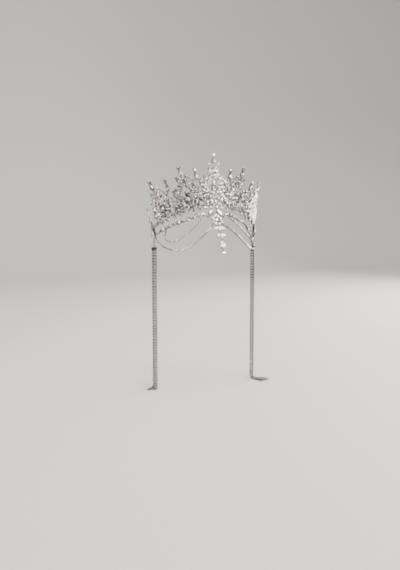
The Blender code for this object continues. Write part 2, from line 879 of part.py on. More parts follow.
def make_fan(name, at, size, finish):
    """A crescent of two drooping leaves with a round between and a stem below."""
    round_up = -(eye_radius + wire - eye_sink + fan_round_size * size / 2)
    leaf_up = round_up - fan_bite
    stem_up = round_up - (fan_round_size / 2 + fan_stem_length / 2 - fan_bite) * size
    stem_foot = stem_up - fan_stem_length * size / 2
    leaf = leaf_outline(fan_leaf_width * size, fan_leaf_length * size)
    pieces = [
        set_stone("round", round_outline(fan_round_size * size), drop_setting,
                  at @ flat_spot(0, round_up), girdle=True),
        set_stone("stem", leaf_outline(fan_stem_width * size, fan_stem_length * size), sheet,
                  at @ flat_spot(0, stem_up), girdle=True),
        eye("top eye", at @ turn_upright),
        eye("bottom eye", at @ flat_spot(0, eye_drop(stem_foot))),
    ]
    for side in (1, -1):
        spot = flat_spot(side * fan_leaf_across * size, leaf_up, side * radians(fan_leaf_turn))
        pieces.append(set_stone("leaf", leaf, sheet, at @ spot))
    fuse(name, pieces, finish)
    return eye_drop(stem_foot)


def make_drop(metal, crystal):
    step = link_step(eye_radius, eye_radius)
    at = ornament_matrix @ flat_spot(0, bottom_eye_up())
    at = next_hung(at.translation, step, fan_upper_lean)
    foot = make_fan("drop_fan_upper", at, 1.0, metal)
    at = next_hung(at @ Vector((0, foot, 0)), step, fan_lower_lean)
    foot = make_fan("drop_fan_lower", at, fan_lower_share, metal)
    at = next_hung(at @ Vector((0, foot, 0)), step, drop_pear_lean)
    pear_up = -(eye_radius + wire - eye_sink + drop_pear_height / 2)
    foot = eye_drop(pear_up - drop_pear_height / 2)
    fuse("drop_pear", [
        set_stone("pear", drop_outline(drop_pear_width, drop_pear_height, 14, pear_sharpness), drop_setting,
                  at @ flat_spot(0, pear_up), girdle=True),
        eye("top eye", at @ turn_upright),
        eye("bottom eye", at @ flat_spot(0, foot)),
    ], crystal)
    at = next_hung(at @ Vector((0, foot, 0)), step, drop_round_lean)
    round_up = -(eye_radius + wire - eye_sink + drop_round_size / 2)
    fuse("drop_round", [
        set_stone("round", round_outline(drop_round_size, 12), drop_setting,
                  at @ flat_spot(0, round_up), girdle=True),
        eye("top eye", at @ turn_upright),
    ], crystal)


def next_hung(hook, step, lean):
    """The frame of the next piece, whose top eye hangs in the eye above."""
    forward = -hook.y + step * sin(radians(lean))
    return hung_matrix(forward, hook.z - step * cos(radians(lean)), lean)


# Chains draped on the brow, built on the right and mirrored to the left

def brow_point(angle, height, off):
    rise = (height - brow_middle.z) / brow_radii.z
    waist = sqrt(1 - rise ** 2)
    spot = brow_middle + Vector((
        brow_radii.x * waist * sin(radians(angle)),
        -brow_radii.y * waist * cos(radians(angle)),
        brow_radii.z * rise,
    ))
    return spot + brow_normal(spot) * off


def brow_normal(spot):
    from_middle = spot - brow_middle
    steep = [from_middle[i] / brow_radii[i] ** 2 for i in range(3)]
    return Vector(steep).normalized()


def smooth_route(knots, spacing):
    """Points at even spacing along a smooth curve through the knots."""
    ends = [knots[0] * 2 - knots[1]] + knots + [knots[-1] * 2 - knots[-2]]
    fine = []
    for i in range(1, len(ends) - 2):
        before, start, end, after = ends[i - 1:i + 3]
        for part in range(16):
            t = part / 16
            fine.append(0.5 * (2 * start + (end - before) * t
                               + (2 * before - 5 * start + 4 * end - after) * t ** 2
                               + (3 * start - before - 3 * end + after) * t ** 3))
    fine.append(knots[-1])
    total = sum((b - a).length for a, b in zip(fine, fine[1:]))
    count = max(2, round(total / spacing))
    spaced = [fine[0]]
    target = total / count
    walked = 0.0
    for a, b in zip(fine, fine[1:]):
        run = (b - a).length
        while len(spaced) < count and walked + run >= target * len(spaced):
            spaced.append(a.lerp(b, (target * len(spaced) - walked) / run))
        walked += run
    spaced.append(fine[-1])
    return spaced, total


def temple_eye():
    return wall_point(temple_eye_along(), end_stone_centre_height, 0)


def chain_end_matrices():
    """Where the forehead chain's own end eyes hang: in the ornament's side eye and at the temple."""
    step = link_step(eye_radius, eye_radius)
    inner = ornament_matrix @ side_eye_spot(1) @ Matrix.Translation((0, step, 0))
    last = forehead_route[-1]
    level_way = brow_point(last.angle, last.height, chain_standoff) - temple_eye()
    level_way.z = 0
    level_way.normalize()
    upright = Vector((0, 0, 1))
    outer = Matrix((level_way, upright, level_way.cross(upright))).transposed().to_4x4()
    outer.translation = temple_eye() + level_way * step
    return inner, outer


def forehead_knots():
    inner, outer = chain_end_matrices()
    return [inner.translation] + brow_knots(forehead_route) + [outer.translation]


def route_spot(route, total, along, up, out):
    """A place beside the route: up is across it, out is away from the brow."""
    place = min(max(along / total, 0), 1) * (len(route) - 1)
    number = min(int(place), len(route) - 2)
    start = route[number]
    end = route[number + 1]
    ahead = (end - start).normalized()
    spot = start + (end - start) * (place - number)
    over = along - min(max(along, 0), total)
    outward = brow_normal(spot)
    outward = (outward - ahead * outward.dot(ahead)).normalized()
    return spot + ahead * over + outward * out + ahead.cross(-outward) * up


def bend_onto_route(mesh, route, total):
    for vertex in mesh.vertices:
        vertex.co = route_spot(route, total, vertex.co.x, vertex.co.z, -vertex.co.y)
    mesh.update()


def unit_starts(total):
    """Where each leaf of the forehead chain begins, spread evenly between the end eyes."""
    count = int((total - 2 * eye_radius) / unit_pitch)
    spare = total - 2 * eye_radius - count * unit_pitch
    return [eye_radius + spare / 2 + number * unit_pitch for number in range(count)]


def make_forehead_chain(finish):
    route, total = smooth_route(forehead_knots(), route_spacing)
    columns = round(total / chain_strip_step)
    run = total - 2 * eye_radius
    lower = [(eye_radius + run * i / columns, -chain_strip / 2) for i in range(columns + 1)]
    upper = [(x, -y) for x, y in lower[::-1]]
    pieces = [plate("strip", [lower + upper], chain_strip, flat_matrix(0, 0, 0, -overlap))]
    leaf = leaf_outline(unit_leaf_width, unit_leaf_length)
    pear = drop_outline(unit_pear_width, unit_pear_length, 8, pear_sharpness)
    for start in unit_starts(total):
        leaf_at = flat_matrix(start + unit_leaf_length / 2, 0, pi / 2)
        pieces.append(set_stone("unit leaf", leaf, sheet, leaf_at))
        for side in (1, -1):
            middle = start + unit_leaf_length + unit_pear_along
            pear_at = flat_matrix(middle, side * unit_pear_across,
                                  pi / 2 - side * radians(unit_pear_turn))
            pieces.append(set_stone("unit pear", pear, sheet, pear_at))
    chain = fuse("chain without eyes", pieces, finish)
    bend_onto_route(chain.data, route, total)
    inner, outer = chain_end_matrices()
    pieces = [chain, eye("inner eye", inner), eye("outer eye", outer)]
    mirror_copy(fuse("forehead_chain_right", pieces, finish), "forehead_chain_left")


def mirror_copy(item, name):
    mesh = item.data.copy()
    mesh.transform(Matrix.Scale(-1, 4, (1, 0, 0)))
    mesh.flip_normals()
    return add_object(name, mesh)


def tube(name, points, size, finish=None):
    curve = bpy.data.curves.new(name, "CURVE")
    curve.dimensions = "3D"
    curve.bevel_depth = size / 2
    curve.bevel_resolution = 1
    curve.use_fill_caps = True
    spline = curve.splines.new("POLY")
    spline.points.add(len(points) - 1)
    for point, spot in zip(spline.points, points):
        point.co = (*spot, 1)
    made = solid_from_curve(name, curve)
    if finish:
        made.data.materials.append(finish)
    return made


def brow_knots(route):
    return [brow_point(point.angle, point.height, chain_standoff) for point in route]


def swag_upper_knots():
    """From under the first leaf of the forehead chain to under its last."""
    route, total = smooth_route(forehead_knots(), route_spacing)
    starts = unit_starts(total)
    below = -(unit_leaf_width / 2 + gap + swag_upper_tilt)
    inner = route_spot(route, total, starts[0] + unit_leaf_length / 2, below, 0)
    outer = route_spot(route, total, starts[-1] + unit_leaf_length / 2, below, 0)
    return [inner] + brow_knots(swag_upper_route) + [outer]


def swag_lower_knots():
    """From the side of the ornament's cluster to under the front of the end stone."""
    angle = radians(swag_joins_cluster)
    inner = ornament_matrix @ Vector((swag_inner_reach * sin(angle),
                                      swag_inner_reach * cos(angle), 0))
    turn = radians(swag_joins_end_stone)
    clear = gap + cup_wall + gap + swag_lower_tilt
    along = end_stone_along - (end_stone_width / 2 + clear) * sin(turn)
    height = end_stone_centre_height - (end_stone_height / 2 + clear) * cos(turn)
    return [inner] + brow_knots(swag_lower_route) + [wall_point(along, height, 0)]


def make_swags(finish):
    for word, knots, size in (("upper", swag_upper_knots(), swag_upper_size),
                              ("lower", swag_lower_knots(), swag_lower_size)):
        points = smooth_route(knots, 2.5 * size)[0]
        swag = tube("swag_%s_right" % word, points, size, finish)
        mirror_copy(swag, "swag_%s_left" % word)


# Tassels and the links that they hang from

def tassel_eye(side):
    return wall_point(side * end_stone_along, tassel_eye_height(), 0)


def tassel_hang():
    """From the end setting's eye down to the cap's eye."""
    return 2 * link_step(eye_radius, link_radius) + (tassel_links - 1) * link_step(link_radius,
                                                                                  link_radius)


def make_links(side, word, finish):
    spot = tassel_eye(side)
    height = spot.z - link_step(eye_radius, link_radius)
    for number in range(tassel_links):
        at = Matrix.Translation((spot.x, spot.y, height))
        turn = turn_upright if number % 2 == 0 else turn_level
        ring = eye("tassel_link_%s_%d" % (word, number + 1), at @ turn, link_radius)
        ring.data.materials.append(finish)
        height -= link_step(link_radius, link_radius)


def strand_points(side_spot, top, across, deep, heading, tail):
    lie = floor_height + strand_size / 2
    x = side_spot.x + across
    y = side_spot.y + deep
    out = Vector((sin(radians(heading)), -cos(radians(heading)), 0))
    foot = Vector((x, y, lie + bend_radius))
    points = [Vector((x, y, top)), foot]
    for step in range(1, 4):
        angle = step / 3 * pi / 2
        points.append(foot + out * bend_radius * (1 - cos(angle))
                      - Vector((0, 0, bend_radius * sin(angle))))
    points.append(points[-1] + out * (tail - bend_radius))
    return points


def make_tassel(side, word, heading, tail, finish):
    spot = tassel_eye(side)
    cap_eye = spot.z - tassel_hang()
    cap_top = cap_eye - eye_radius - wire + eye_sink
    wide = (strands - 1) * strand_pitch + strand_size + 2 * cap_margin
    deep = 2 * strand_stagger + strand_size + 2 * cap_margin
    cap_at = Matrix.Translation((spot.x, spot.y, cap_top - cap_height / 2))
    pieces = [plate("cap", [oval_like(wide, deep)], cap_height, cap_at)]
    pieces.append(eye("cap eye", Matrix.Translation((spot.x, spot.y, cap_eye)) @ turn_level))
    for number in range(strands):
        shift = number - (strands - 1) / 2
        stagger = strand_stagger if number % 2 else -strand_stagger
        points = strand_points(spot, cap_top - cap_height / 2, shift * strand_pitch, stagger,
                               heading + shift * strand_fan, tail)
        pieces.append(tube("strand", points, strand_size))
    fuse("tassel_" + word, pieces, finish)


def oval_like(wide, deep, corner=0.3):
    near = wide / 2
    far = deep / 2
    cut = deep * corner
    return [
        (near, -far + cut), (near, far - cut), (near - cut, far), (-near + cut, far),
        (-near, far - cut), (-near, -far + cut), (-near + cut, -far), (near - cut, -far),
    ]


for leftover in list(bpy.data.objects):
    bpy.data.objects.remove(leftover)

metal = make_finish("Rhodium", (0.72, 0.70, 0.68), 0.22, 1.0)
crystal = make_finish("Crystal", (0.93, 0.94, 0.95), 0.06, 0.6)
make_frame(metal)
crown_stones(crystal)
make_ornament(metal, crystal)
make_drop(metal, crystal)
make_forehead_chain(metal)
make_swags(metal)
make_links(-1, "left", metal)
make_links(1, "right", metal)
make_tassel(-1, "left", left_tail_heading, left_tail_length, metal)
make_tassel(1, "right", right_tail_heading, right_tail_length, metal)
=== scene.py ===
# Bridal crown: rhodium-plated metal set with foil-backed cut crystals, with cup-chain drapes and tassels
from math import cos, hypot, pi, radians, sin, sqrt

import bpy
from mathutils import Matrix, Vector


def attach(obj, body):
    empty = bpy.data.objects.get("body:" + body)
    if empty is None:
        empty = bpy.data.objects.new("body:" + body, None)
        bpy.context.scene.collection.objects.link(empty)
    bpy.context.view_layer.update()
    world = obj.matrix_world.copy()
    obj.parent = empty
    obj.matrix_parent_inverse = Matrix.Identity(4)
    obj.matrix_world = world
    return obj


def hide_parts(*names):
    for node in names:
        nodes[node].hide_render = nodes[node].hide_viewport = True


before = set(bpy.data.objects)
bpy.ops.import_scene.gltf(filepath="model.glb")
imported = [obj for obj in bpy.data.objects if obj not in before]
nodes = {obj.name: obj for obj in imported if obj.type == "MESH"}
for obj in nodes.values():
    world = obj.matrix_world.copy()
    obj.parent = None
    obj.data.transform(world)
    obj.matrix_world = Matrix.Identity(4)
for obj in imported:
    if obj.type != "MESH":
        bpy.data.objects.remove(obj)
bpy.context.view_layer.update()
mm = 0.001
print("loaded", len(nodes), "nodes")


def setMode(mode):
    bpy.ops.object.mode_set(mode=mode)


def deselectAll():
    if bpy.context.object and bpy.context.object.mode != "OBJECT":
        setMode("OBJECT")
    bpy.ops.object.select_all(action="DESELECT")


# Camera, at the photo's angle and distance
view = {"place": (-0.3545, -0.9319, 0.0300), "target": (-0.0053, 0.0020, -0.0836), "lens": 42.38}

deselectAll()
bpy.ops.object.camera_add(location=view["place"])
camera = bpy.context.object
camera.name = "photoCamera"
camera.rotation_euler = (Vector(view["target"]) - Vector(view["place"])).to_track_quat("-Z", "Y").to_euler()
camera.data.lens = view["lens"]
camera.data.clip_start = 0.01
bpy.context.scene.camera = camera
print("camera placed")


# Materials

def linearColour(hexCode):
    channels = [int(hexCode[i:i + 2], 16) / 255 for i in (0, 2, 4)]
    return tuple(c / 12.92 if c <= 0.04045 else ((c + 0.055) / 1.055) ** 2.4 for c in channels) + (1,)


def addNode(tree, kind, settings=None, links=None):
    node = tree.nodes.new(kind)
    for key, value in (settings or {}).items():
        if key in node.inputs:
            node.inputs[key].default_value = value
        else:
            setattr(node, key, value)
    for key, source in (links or {}).items():
        tree.links.new(source, node.inputs[key])
    return node


def startMaterial(name):
    material = bpy.data.materials.new(name)
    material.use_nodes = True
    tree = material.node_tree
    shader = tree.nodes["Principled BSDF"]
    place = addNode(tree, "ShaderNodeTexCoord").outputs["Object"]
    return material, tree, shader, place


def setRamp(ramp, stops, interpolation="LINEAR"):
    ramp.color_ramp.interpolation = interpolation
    while len(ramp.color_ramp.elements) < len(stops):
        ramp.color_ramp.elements.new(0.5)
    for element, (position, colour) in zip(ramp.color_ramp.elements, stops):
        element.position = position
        element.color = linearColour(colour)


# Rhodium-plated brass, cast and polished: a slightly warm white metal that changes a little in patches,
# with the soft waviness that hand polishing leaves
rhodium = {"light": "756C66", "dark": "2E2925", "darkUntil": 0.3, "lightFrom": 0.65, "roughLow": 0.10,
           "roughHigh": 0.24, "patchMm": 3.0, "waveMm": 0.6, "waveStrength": 0.25, "waveDepth": 0.06 * mm}


def rhodiumMaterial():
    material, tree, shader, place = startMaterial("polished rhodium plate")
    patches = addNode(tree, "ShaderNodeTexNoise", {"Scale": 1000 / rhodium["patchMm"], "Detail": 3.0},
                      {"Vector": place})
    tone = addNode(tree, "ShaderNodeValToRGB", links={"Fac": patches.outputs["Fac"]})
    setRamp(tone, [(rhodium["darkUntil"], rhodium["dark"]), (rhodium["lightFrom"], rhodium["light"])])
    tree.links.new(tone.outputs["Color"], shader.inputs["Base Color"])
    roughness = {"To Min": rhodium["roughLow"], "To Max": rhodium["roughHigh"]}
    rough = addNode(tree, "ShaderNodeMapRange", roughness, {"Value": patches.outputs["Fac"]})
    tree.links.new(rough.outputs["Result"], shader.inputs["Roughness"])
    waves = addNode(tree, "ShaderNodeTexNoise", {"Scale": 1000 / rhodium["waveMm"]}, {"Vector": place})
    relief = {"Strength": rhodium["waveStrength"], "Distance": rhodium["waveDepth"]}
    bump = addNode(tree, "ShaderNodeBump", relief, {"Height": waves.outputs["Fac"]})
    tree.links.new(bump.outputs["Normal"], shader.inputs["Normal"])
    shader.inputs["Metallic"].default_value = 1.0
    return material


# Cut crystal with a foiled back: the light that comes back out of its pavilion in small patches, some bright
# and some dark, is painted into the base colour as random facet cells (painted highlights and painted dark
# reflections), so it looks like a mirror broken into little facets under a clear polished top
facetDepth = 0.2 * mm


def crystalMaterial(name, bright, middle, dark, facetMm, darkShare, middleShare):
    material, tree, shader, place = startMaterial(name)
    facets = addNode(tree, "ShaderNodeTexVoronoi", {"Scale": 1000 / facetMm, "Randomness": 1.0},
                     {"Vector": place})
    value = addNode(tree, "ShaderNodeSeparateColor", links={"Color": facets.outputs["Color"]})
    # Painted reflections: each facet cell takes the dark, middle or bright tone, as painted dark reflection
    # or painted highlight
    tone = addNode(tree, "ShaderNodeValToRGB", links={"Fac": value.outputs["Red"]})
    setRamp(tone, [(0.0, dark), (darkShare, middle), (middleShare, bright)], "CONSTANT")
    tree.links.new(tone.outputs["Color"], shader.inputs["Base Color"])
    bump = addNode(tree, "ShaderNodeBump", {"Strength": 0.8, "Distance": facetMm * facetDepth},
                   {"Height": facets.outputs["Distance"]})
    tree.links.new(bump.outputs["Normal"], shader.inputs["Normal"])
    shader.inputs["Metallic"].default_value = 0.8
    shader.inputs["Roughness"].default_value = 0.07
    shader.inputs["Coat Weight"].default_value = 0.6
    shader.inputs["Coat Roughness"].default_value = 0.02
    shader.inputs["Coat IOR"].default_value = 1.55
    return material


metal = rhodiumMaterial()
crystal = crystalMaterial("foil-backed cut crystal", "FFFFFF", "8A837E", "12100F", 1.3, 0.30, 0.52)
pave = crystalMaterial("fine pave crystal", "F3E9E4", "94857E", "332C29", 0.9, 0.26, 0.60)
pearCrystal = crystalMaterial("foil-backed pear-cut crystal", "FFFFFF", "8A837E", "0C0B0A", 2.0, 0.34, 0.54)
chainCrystal = crystalMaterial("cup-chain crystal", "FFFDFB", "8C847E", "26221F", 1.1, 0.28, 0.60)
tasselCrystal = crystalMaterial("tassel cup-chain crystal", "B9AFA6", "544B45", "171412", 1.1, 0.40, 0.78)
print("materials made")


# Patterns that repeat: each is modelled once round the middle, face up, and copied to its places

def roundOutline(size, sides=12):
    return [(size / 2 * cos(2 * pi * i / sides), size / 2 * sin(2 * pi * i / sides)) for i in range(sides)]


def ovalOutline(width, height, sides=16):
    return [(width / 2 * cos(2 * pi * i / sides), height / 2 * sin(2 * pi * i / sides)) for i in range(sides)]


def leafOutline(width, length, sides=12):
    radius = (length ** 2 + width ** 2) / (4 * width)
    tip = Vector((radius - width / 2, length / 2)).angle(Vector((1, 0)))
    points = []
    for side in (1, -1):
        for step in range(sides // 2):
            angle = side * tip * (2 * step / (sides // 2) - 1)
            points.append((side * (radius * cos(angle) - radius + width / 2), radius * sin(angle)))
    return points


def dropOutline(width, height, sides=16, sharpness=0.7):
    peak = 2 * sqrt((sharpness + 1) / (sharpness + 2)) ** (sharpness + 1) / sqrt(sharpness + 2)
    points = []
    for step in range(sides):
        angle = -2 * pi * step / sides
        x = sin(angle) * abs(sin(angle / 2)) ** sharpness / peak * width / 2
        points.append((x, cos(angle) * height / 2))
    return points


def cushionOutline(size, cut):
    near = size / 2
    far = near * (1 - 2 * cut)
    return [(near, -far), (near, far), (far, near), (-far, near), (-near, far), (-near, -far), (-far, -near),
            (far, -near)]


def shapeFromLevels(name, outline, levels, twistAt=None):
    deselectAll()
    bpy.ops.mesh.primitive_circle_add(vertices=len(outline), radius=1, fill_type="NGON")
    item = bpy.context.object
    item.name = name
    height, share = levels[0]
    for corner, (x, y) in zip(item.data.vertices, outline):
        corner.co = (x * share, y * share, height)
    setMode("EDIT")
    bpy.ops.mesh.select_all(action="SELECT")
    for number, (nextHeight, nextShare) in enumerate(levels[1:]):
        bpy.ops.mesh.extrude_region_move(TRANSFORM_OT_translate={"value": (0, 0, nextHeight - height)})
        bpy.ops.transform.resize(value=(nextShare / share, nextShare / share, 1), center_override=(0, 0, 0))
        if number == twistAt:
            bpy.ops.transform.rotate(value=pi / len(outline), orient_axis="Z", center_override=(0, 0, 0))
        height, share = nextHeight, nextShare
    bpy.ops.mesh.select_all(action="SELECT")
    bpy.ops.mesh.quads_convert_to_tris()
    bpy.ops.mesh.normals_make_consistent(inside=False)
    setMode("OBJECT")
    return item


# A cut stone in a closed setting: how far its girdle, crown and table stand over the plate's face
stoneCut = {"under": -0.4 * mm, "girdle": 0.05 * mm, "crown": 0.7 * mm, "table": 1.4 * mm,
            "wide": 1.03, "crownShare": 0.86, "tableShare": 0.58, "twistLevel": 1}
# Its collet, with a rim that shows as a dark line round the stone
collet = {"foot": -0.1 * mm, "footShare": 0.94, "rim": 0.1 * mm, "rimWidth": 0.42 * mm}
plateHalf = 0.8 * mm
patterns = {}


def stonePattern(key, outline, half, twist):
    if key not in patterns:
        levels = [(half + stoneCut["under"], stoneCut["wide"]), (half + stoneCut["girdle"], stoneCut["wide"]),
                  (half + stoneCut["crown"], stoneCut["crownShare"]),
                  (half + stoneCut["table"], stoneCut["tableShare"])]
        stone = shapeFromLevels(key + " stone", outline, levels, stoneCut["twistLevel"] if twist else None)
        rimShare = 1 + collet["rimWidth"] / max(x for x, y in outline)
        levels = [(-half + collet["foot"], collet["footShare"]), (half + collet["rim"], rimShare)]
        patterns[key] = (stone, shapeFromLevels(key + " collet", outline, levels))
    return patterns[key]


# A large stone standing in an open cup of the frame, cut with a deeper crown
bigCut = {"under": 0.6 * mm, "girdle": 1.45 * mm, "crown": 2.3 * mm, "table": 3.0 * mm, "backShare": 0.85,
          "girdleShare": 1.02, "crownShare": 0.84, "tableShare": 0.55}
claw = {"size": 0.85 * mm, "stretch": 1.5, "height": 1.6 * mm, "reach": 1.1}


def bigStonePattern(key, outline):
    if key not in patterns:
        levels = [(bigCut["under"], bigCut["backShare"]), (bigCut["girdle"], bigCut["girdleShare"]),
                  (bigCut["crown"], bigCut["crownShare"]), (bigCut["table"], bigCut["tableShare"])]
        patterns[key] = (shapeFromLevels(key + " stone", outline, levels), None)
    return patterns[key][0]


def clawPattern():
    if "claw" not in patterns:
        deselectAll()
        bpy.ops.mesh.primitive_uv_sphere_add(segments=8, ring_count=6, radius=claw["size"] / 2)
        item = bpy.context.object
        setMode("EDIT")
        bpy.ops.mesh.select_all(action="SELECT")
        bpy.ops.transform.resize(value=(1, 1, claw["stretch"]), center_override=(0, 0, 0))
        setMode("OBJECT")
        item.name = "claw"
        patterns["claw"] = (item, None)
    return patterns["claw"][0]


def copyTo(pattern, place):
    item = pattern.copy()
    item.data = pattern.data.copy()
    bpy.context.collection.objects.link(item)
    item.data.transform(place)
    if place.determinant() < 0:
        item.data.flip_normals()
    return item


def joinCopies(name, copies, material):
    deselectAll()
    for item in copies:
        item.select_set(True)
    bpy.context.view_layer.objects.active = copies[0]
    bpy.ops.object.join()
    item = bpy.context.object
    item.name = name
    item.data.name = name
    item.data.materials.clear()
    item.data.materials.append(material)
    return item


def finishPiece(item, replaced=()):
    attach(item, "root")
    if replaced:
        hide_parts(*replaced)


# The crown's wall: half an ellipse in plan, arched over the forehead, leaning back in front and flared at
# the temples
wall = {"halfWidth": 80 * mm, "frontDepth": 39 * mm, "rise": 36 * mm, "risePower": 1.6, "frontLean": 0.035,
        "templeFlare": 0.14, "flarePower": 2.5, "steps": 240}


def arcLengths():
    table = [(0.0, 0.0)]
    length = 0.0
    steps = wall["steps"]
    for step in range(steps):
        middle = (step + 0.5) / steps * pi / 2
        length += hypot(wall["halfWidth"] * cos(middle), wall["frontDepth"] * sin(middle)) * pi / 2 / steps
        table.append((length, (step + 1) / steps * pi / 2))
    return table


arcTable = arcLengths()
halfArc = arcTable[-1][0]


def planAngle(along):
    low, high = 0, len(arcTable) - 1
    while high - low > 1:
        middle = (low + high) // 2
        if arcTable[middle][0] <= along:
            low = middle
        else:
            high = middle
    start, startAngle = arcTable[low]
    end, endAngle = arcTable[high]
    return startAngle + (endAngle - startAngle) * (along - start) / (end - start)


def baseHeight(along):
    return wall["rise"] * (1 - min(abs(along) / halfArc, 1) ** wall["risePower"])


def baseSlope(along):
    share = min(abs(along) / halfArc, 1)
    slope = -wall["rise"] * wall["risePower"] / halfArc * share ** (wall["risePower"] - 1)
    return slope if along >= 0 else -slope


def wallPoint(along, height, outward):
    side = 1 if along >= 0 else -1
    reach = min(abs(along), halfArc)
    angle = planAngle(reach)
    flare = wall["templeFlare"] * (reach / halfArc) ** wall["flarePower"]
    lean = (height - baseHeight(along)) * (flare - wall["frontLean"])
    across = hypot(wall["frontDepth"] * sin(angle), wall["halfWidth"] * cos(angle))
    outX = wall["frontDepth"] * sin(angle) / across
    outY = -wall["halfWidth"] * cos(angle) / across
    x = wall["halfWidth"] * sin(angle) + outX * (outward + lean)
    y = -wall["frontDepth"] * cos(angle) + outY * (outward + lean) + (abs(along) - reach)
    return Vector((side * x, y, height))


def bendOntoWall(item):
    for vertex in item.data.vertices:
        vertex.co = wallPoint(vertex.co.x, vertex.co.z, -vertex.co.y)
    item.data.update()


def flatMatrix(along, height, turn, outward=0.0):
    c, s = cos(turn), sin(turn)
    return Matrix(((c, s, 0, along), (0, 0, -1, -outward), (-s, c, 0, height), (0, 0, 0, 1)))


def axisSpot(along, across, up):
    slope = baseSlope(along)
    length = hypot(1, slope)
    sideways = Vector((1, slope)) / length
    upward = Vector((-slope, 1)) / length
    spot = Vector((along, baseHeight(along))) + sideways * across + upward * up
    return spot, Vector((0, 1)).angle_signed(upward)


def onAxis(along, across, up, turn=0.0):
    spot, tilt = axisSpot(along, across, up)
    return flatMatrix(spot.x, spot.y, tilt + turn)


# The crown's points: share of the half arc, height, and for a ring its width, height and foot
points = [
    {"share": 0.0, "height": 72.0 * mm, "ring": (22.7 * mm, 34.0 * mm, 14.5 * mm)},
    {"share": 0.182, "height": 53.6 * mm, "ring": None},
    {"share": 0.344, "height": 62.4 * mm, "ring": (20.6 * mm, 35.0 * mm, 7.0 * mm)},
    {"share": 0.531, "height": 50.4 * mm, "ring": None},
    {"share": 0.698, "height": 59.2 * mm, "ring": (19.0 * mm, 31.0 * mm, 6.5 * mm)},
]
# Rings: the leaves round one are (degrees from its top, lean, share of a leaf's size)
ringWork = {"halo": 1.8 * mm, "haloReach": 1.5 * mm, "haloStones": 15, "haloSharpness": 0.5, "band": 3.4 * mm,
            "tipShare": 1.4, "sharpness": 1.25, "leaves": [(42, 38, 1.05), (78, 55, 1.05), (118, 78, 1.0)],
            "tippedLeaves": 2, "leafOverlap": 1.0 * mm, "pear": (5.6 * mm, 8.6 * mm), "pearGap": 0.3 * mm,
            "round": 4.2 * mm, "roundGap": 2.2 * mm, "paveSize": 1.7 * mm}
finial = {"round": 4.6 * mm, "neck": 1.4 * mm, "pear": (4.7 * mm, 7.8 * mm), "rim": 0.8 * mm,
          "flankReach": 7.2 * mm, "flank": 3.6 * mm}
leaf = {"width": 3.4 * mm, "length": 7.0 * mm}
# Spires: the leaves on one are (share of the stem's height, across, lean, share of a leaf's size)
spireWork = {"leaves": [(0.14, 0.4 * mm, 56, 0.95), (0.62, 0.4 * mm, 54, 0.9)],
             "loop": (10.2 * mm, 13.0 * mm), "sharpness": 0.3, "band": 1.5 * mm, "bite": 0.45 * mm,
             "stemLeaf": 0.72, "stemRound": 0.3, "paveSize": 1.35 * mm}
# Small stones that fill the openwork: sprigs round the rings, rounds at leaf tips, and two rows on the band
sprigs = {"around": [(60, 46, 0.85), (98, 66, 0.85), (142, 96, 0.8)], "beadAround": (24, 160),
          "beadProbe": 2, "bead": 2.8 * mm, "beadBite": 0.5 * mm, "tipRound": 2.4 * mm, "tipReach": 0.8 * mm,
          "spireLeaf": (0.38, 0.4 * mm, 55, 0.85), "bandRound": 3.0 * mm, "bandUp": 2.7 * mm,
          "bandPitch": 4.1 * mm, "bandEnd": 86 * mm, "bandLeaf": (2.8 * mm, 6.0 * mm),
          "bandLeafUp": 6.0 * mm, "bandLeafPitch": 5.4 * mm, "bandLeafLean": 38}
footLeaves = {"across": 3.4 * mm, "up": 4.4 * mm, "lean": 52}
edge = {"bandHeight": 3.6 * mm, "bandFace": 1.2 * mm, "round": 4.2 * mm, "pitch": 8.8 * mm,
        "overlap": 1.0 * mm, "start": 4.4 * mm, "end": 80 * mm, "paveSize": 1.75 * mm, "pavePitch": 1.85 * mm,
        "paveRows": (-0.25, 0.25)}
endLeaf = {"share": 0.965, "width": 6.4 * mm, "height": 17.0 * mm, "tip": 32.0 * mm, "band": 1.5 * mm,
           "bandsLong": 5, "bite": 0.8 * mm, "tipLength": 4.8 * mm}
endStone = {"size": (7.6 * mm, 12.6 * mm), "along": 91.5 * mm, "height": -6.5 * mm}


def finialFoot(point):
    return point["height"] - (finial["round"] + finial["neck"] + finial["pear"][1] + 2 * finial["rim"])


def finialPearUp(point):
    return finialFoot(point) + finial["pear"][1] / 2 + finial["rim"]


def ringPearUp(point):
    return point["ring"][2] + ringWork["band"] + ringWork["pear"][1] / 2 + ringWork["pearGap"]


def ringSide(point, around):
    width, height, foot = point["ring"]
    power = ringWork["sharpness"]
    spreads = [sin(a * pi / 180) * sin(a * pi / 360) ** power for a in range(1, 180)]
    spread = sin(around) * sin(around / 2) ** power / max(spreads)
    return spread * width / 2, foot + height / 2 + cos(around) * height / 2


places = []
for point in points:
    for side in ((1, -1) if point["share"] else (1,)):
        places.append((point, side * point["share"] * halfArc))
stoneCopies, colletCopies, bigCopies, clawCopies = [], [], [], []
smallSides = 8


def setStone(key, outline, place, half=plateHalf, twist=False, stones=stoneCopies, collets=colletCopies):
    stone, cup = stonePattern(key, outline, half, twist)
    stones.append(copyTo(stone, place))
    collets.append(copyTo(cup, place))


def setRound(key, size, place, sides=12):
    setStone(key, roundOutline(size, sides), place, twist=True)


def setBigStone(key, outline, place, stones=bigCopies, claws=clawCopies, clawCount=4):
    stones.append(copyTo(bigStonePattern(key, outline), place))
    for number in range(clawCount):
        x, y = outline[round((number + 0.5) * len(outline) / clawCount) % len(outline)]
        spot = place @ Matrix.Translation((x * claw["reach"], y * claw["reach"], claw["height"]))
        claws.append(copyTo(clawPattern(), spot))


# Pairs right and left of an axis, each at the end of a reach that leans out
def leafPair(key, outline, along, across, up, lean, reach=0.0):
    lean = radians(lean)
    for way in (1, -1):
        place = onAxis(along, way * (across + reach * sin(lean)), up + reach * cos(lean), way * lean)
        setStone(key, outline, place)


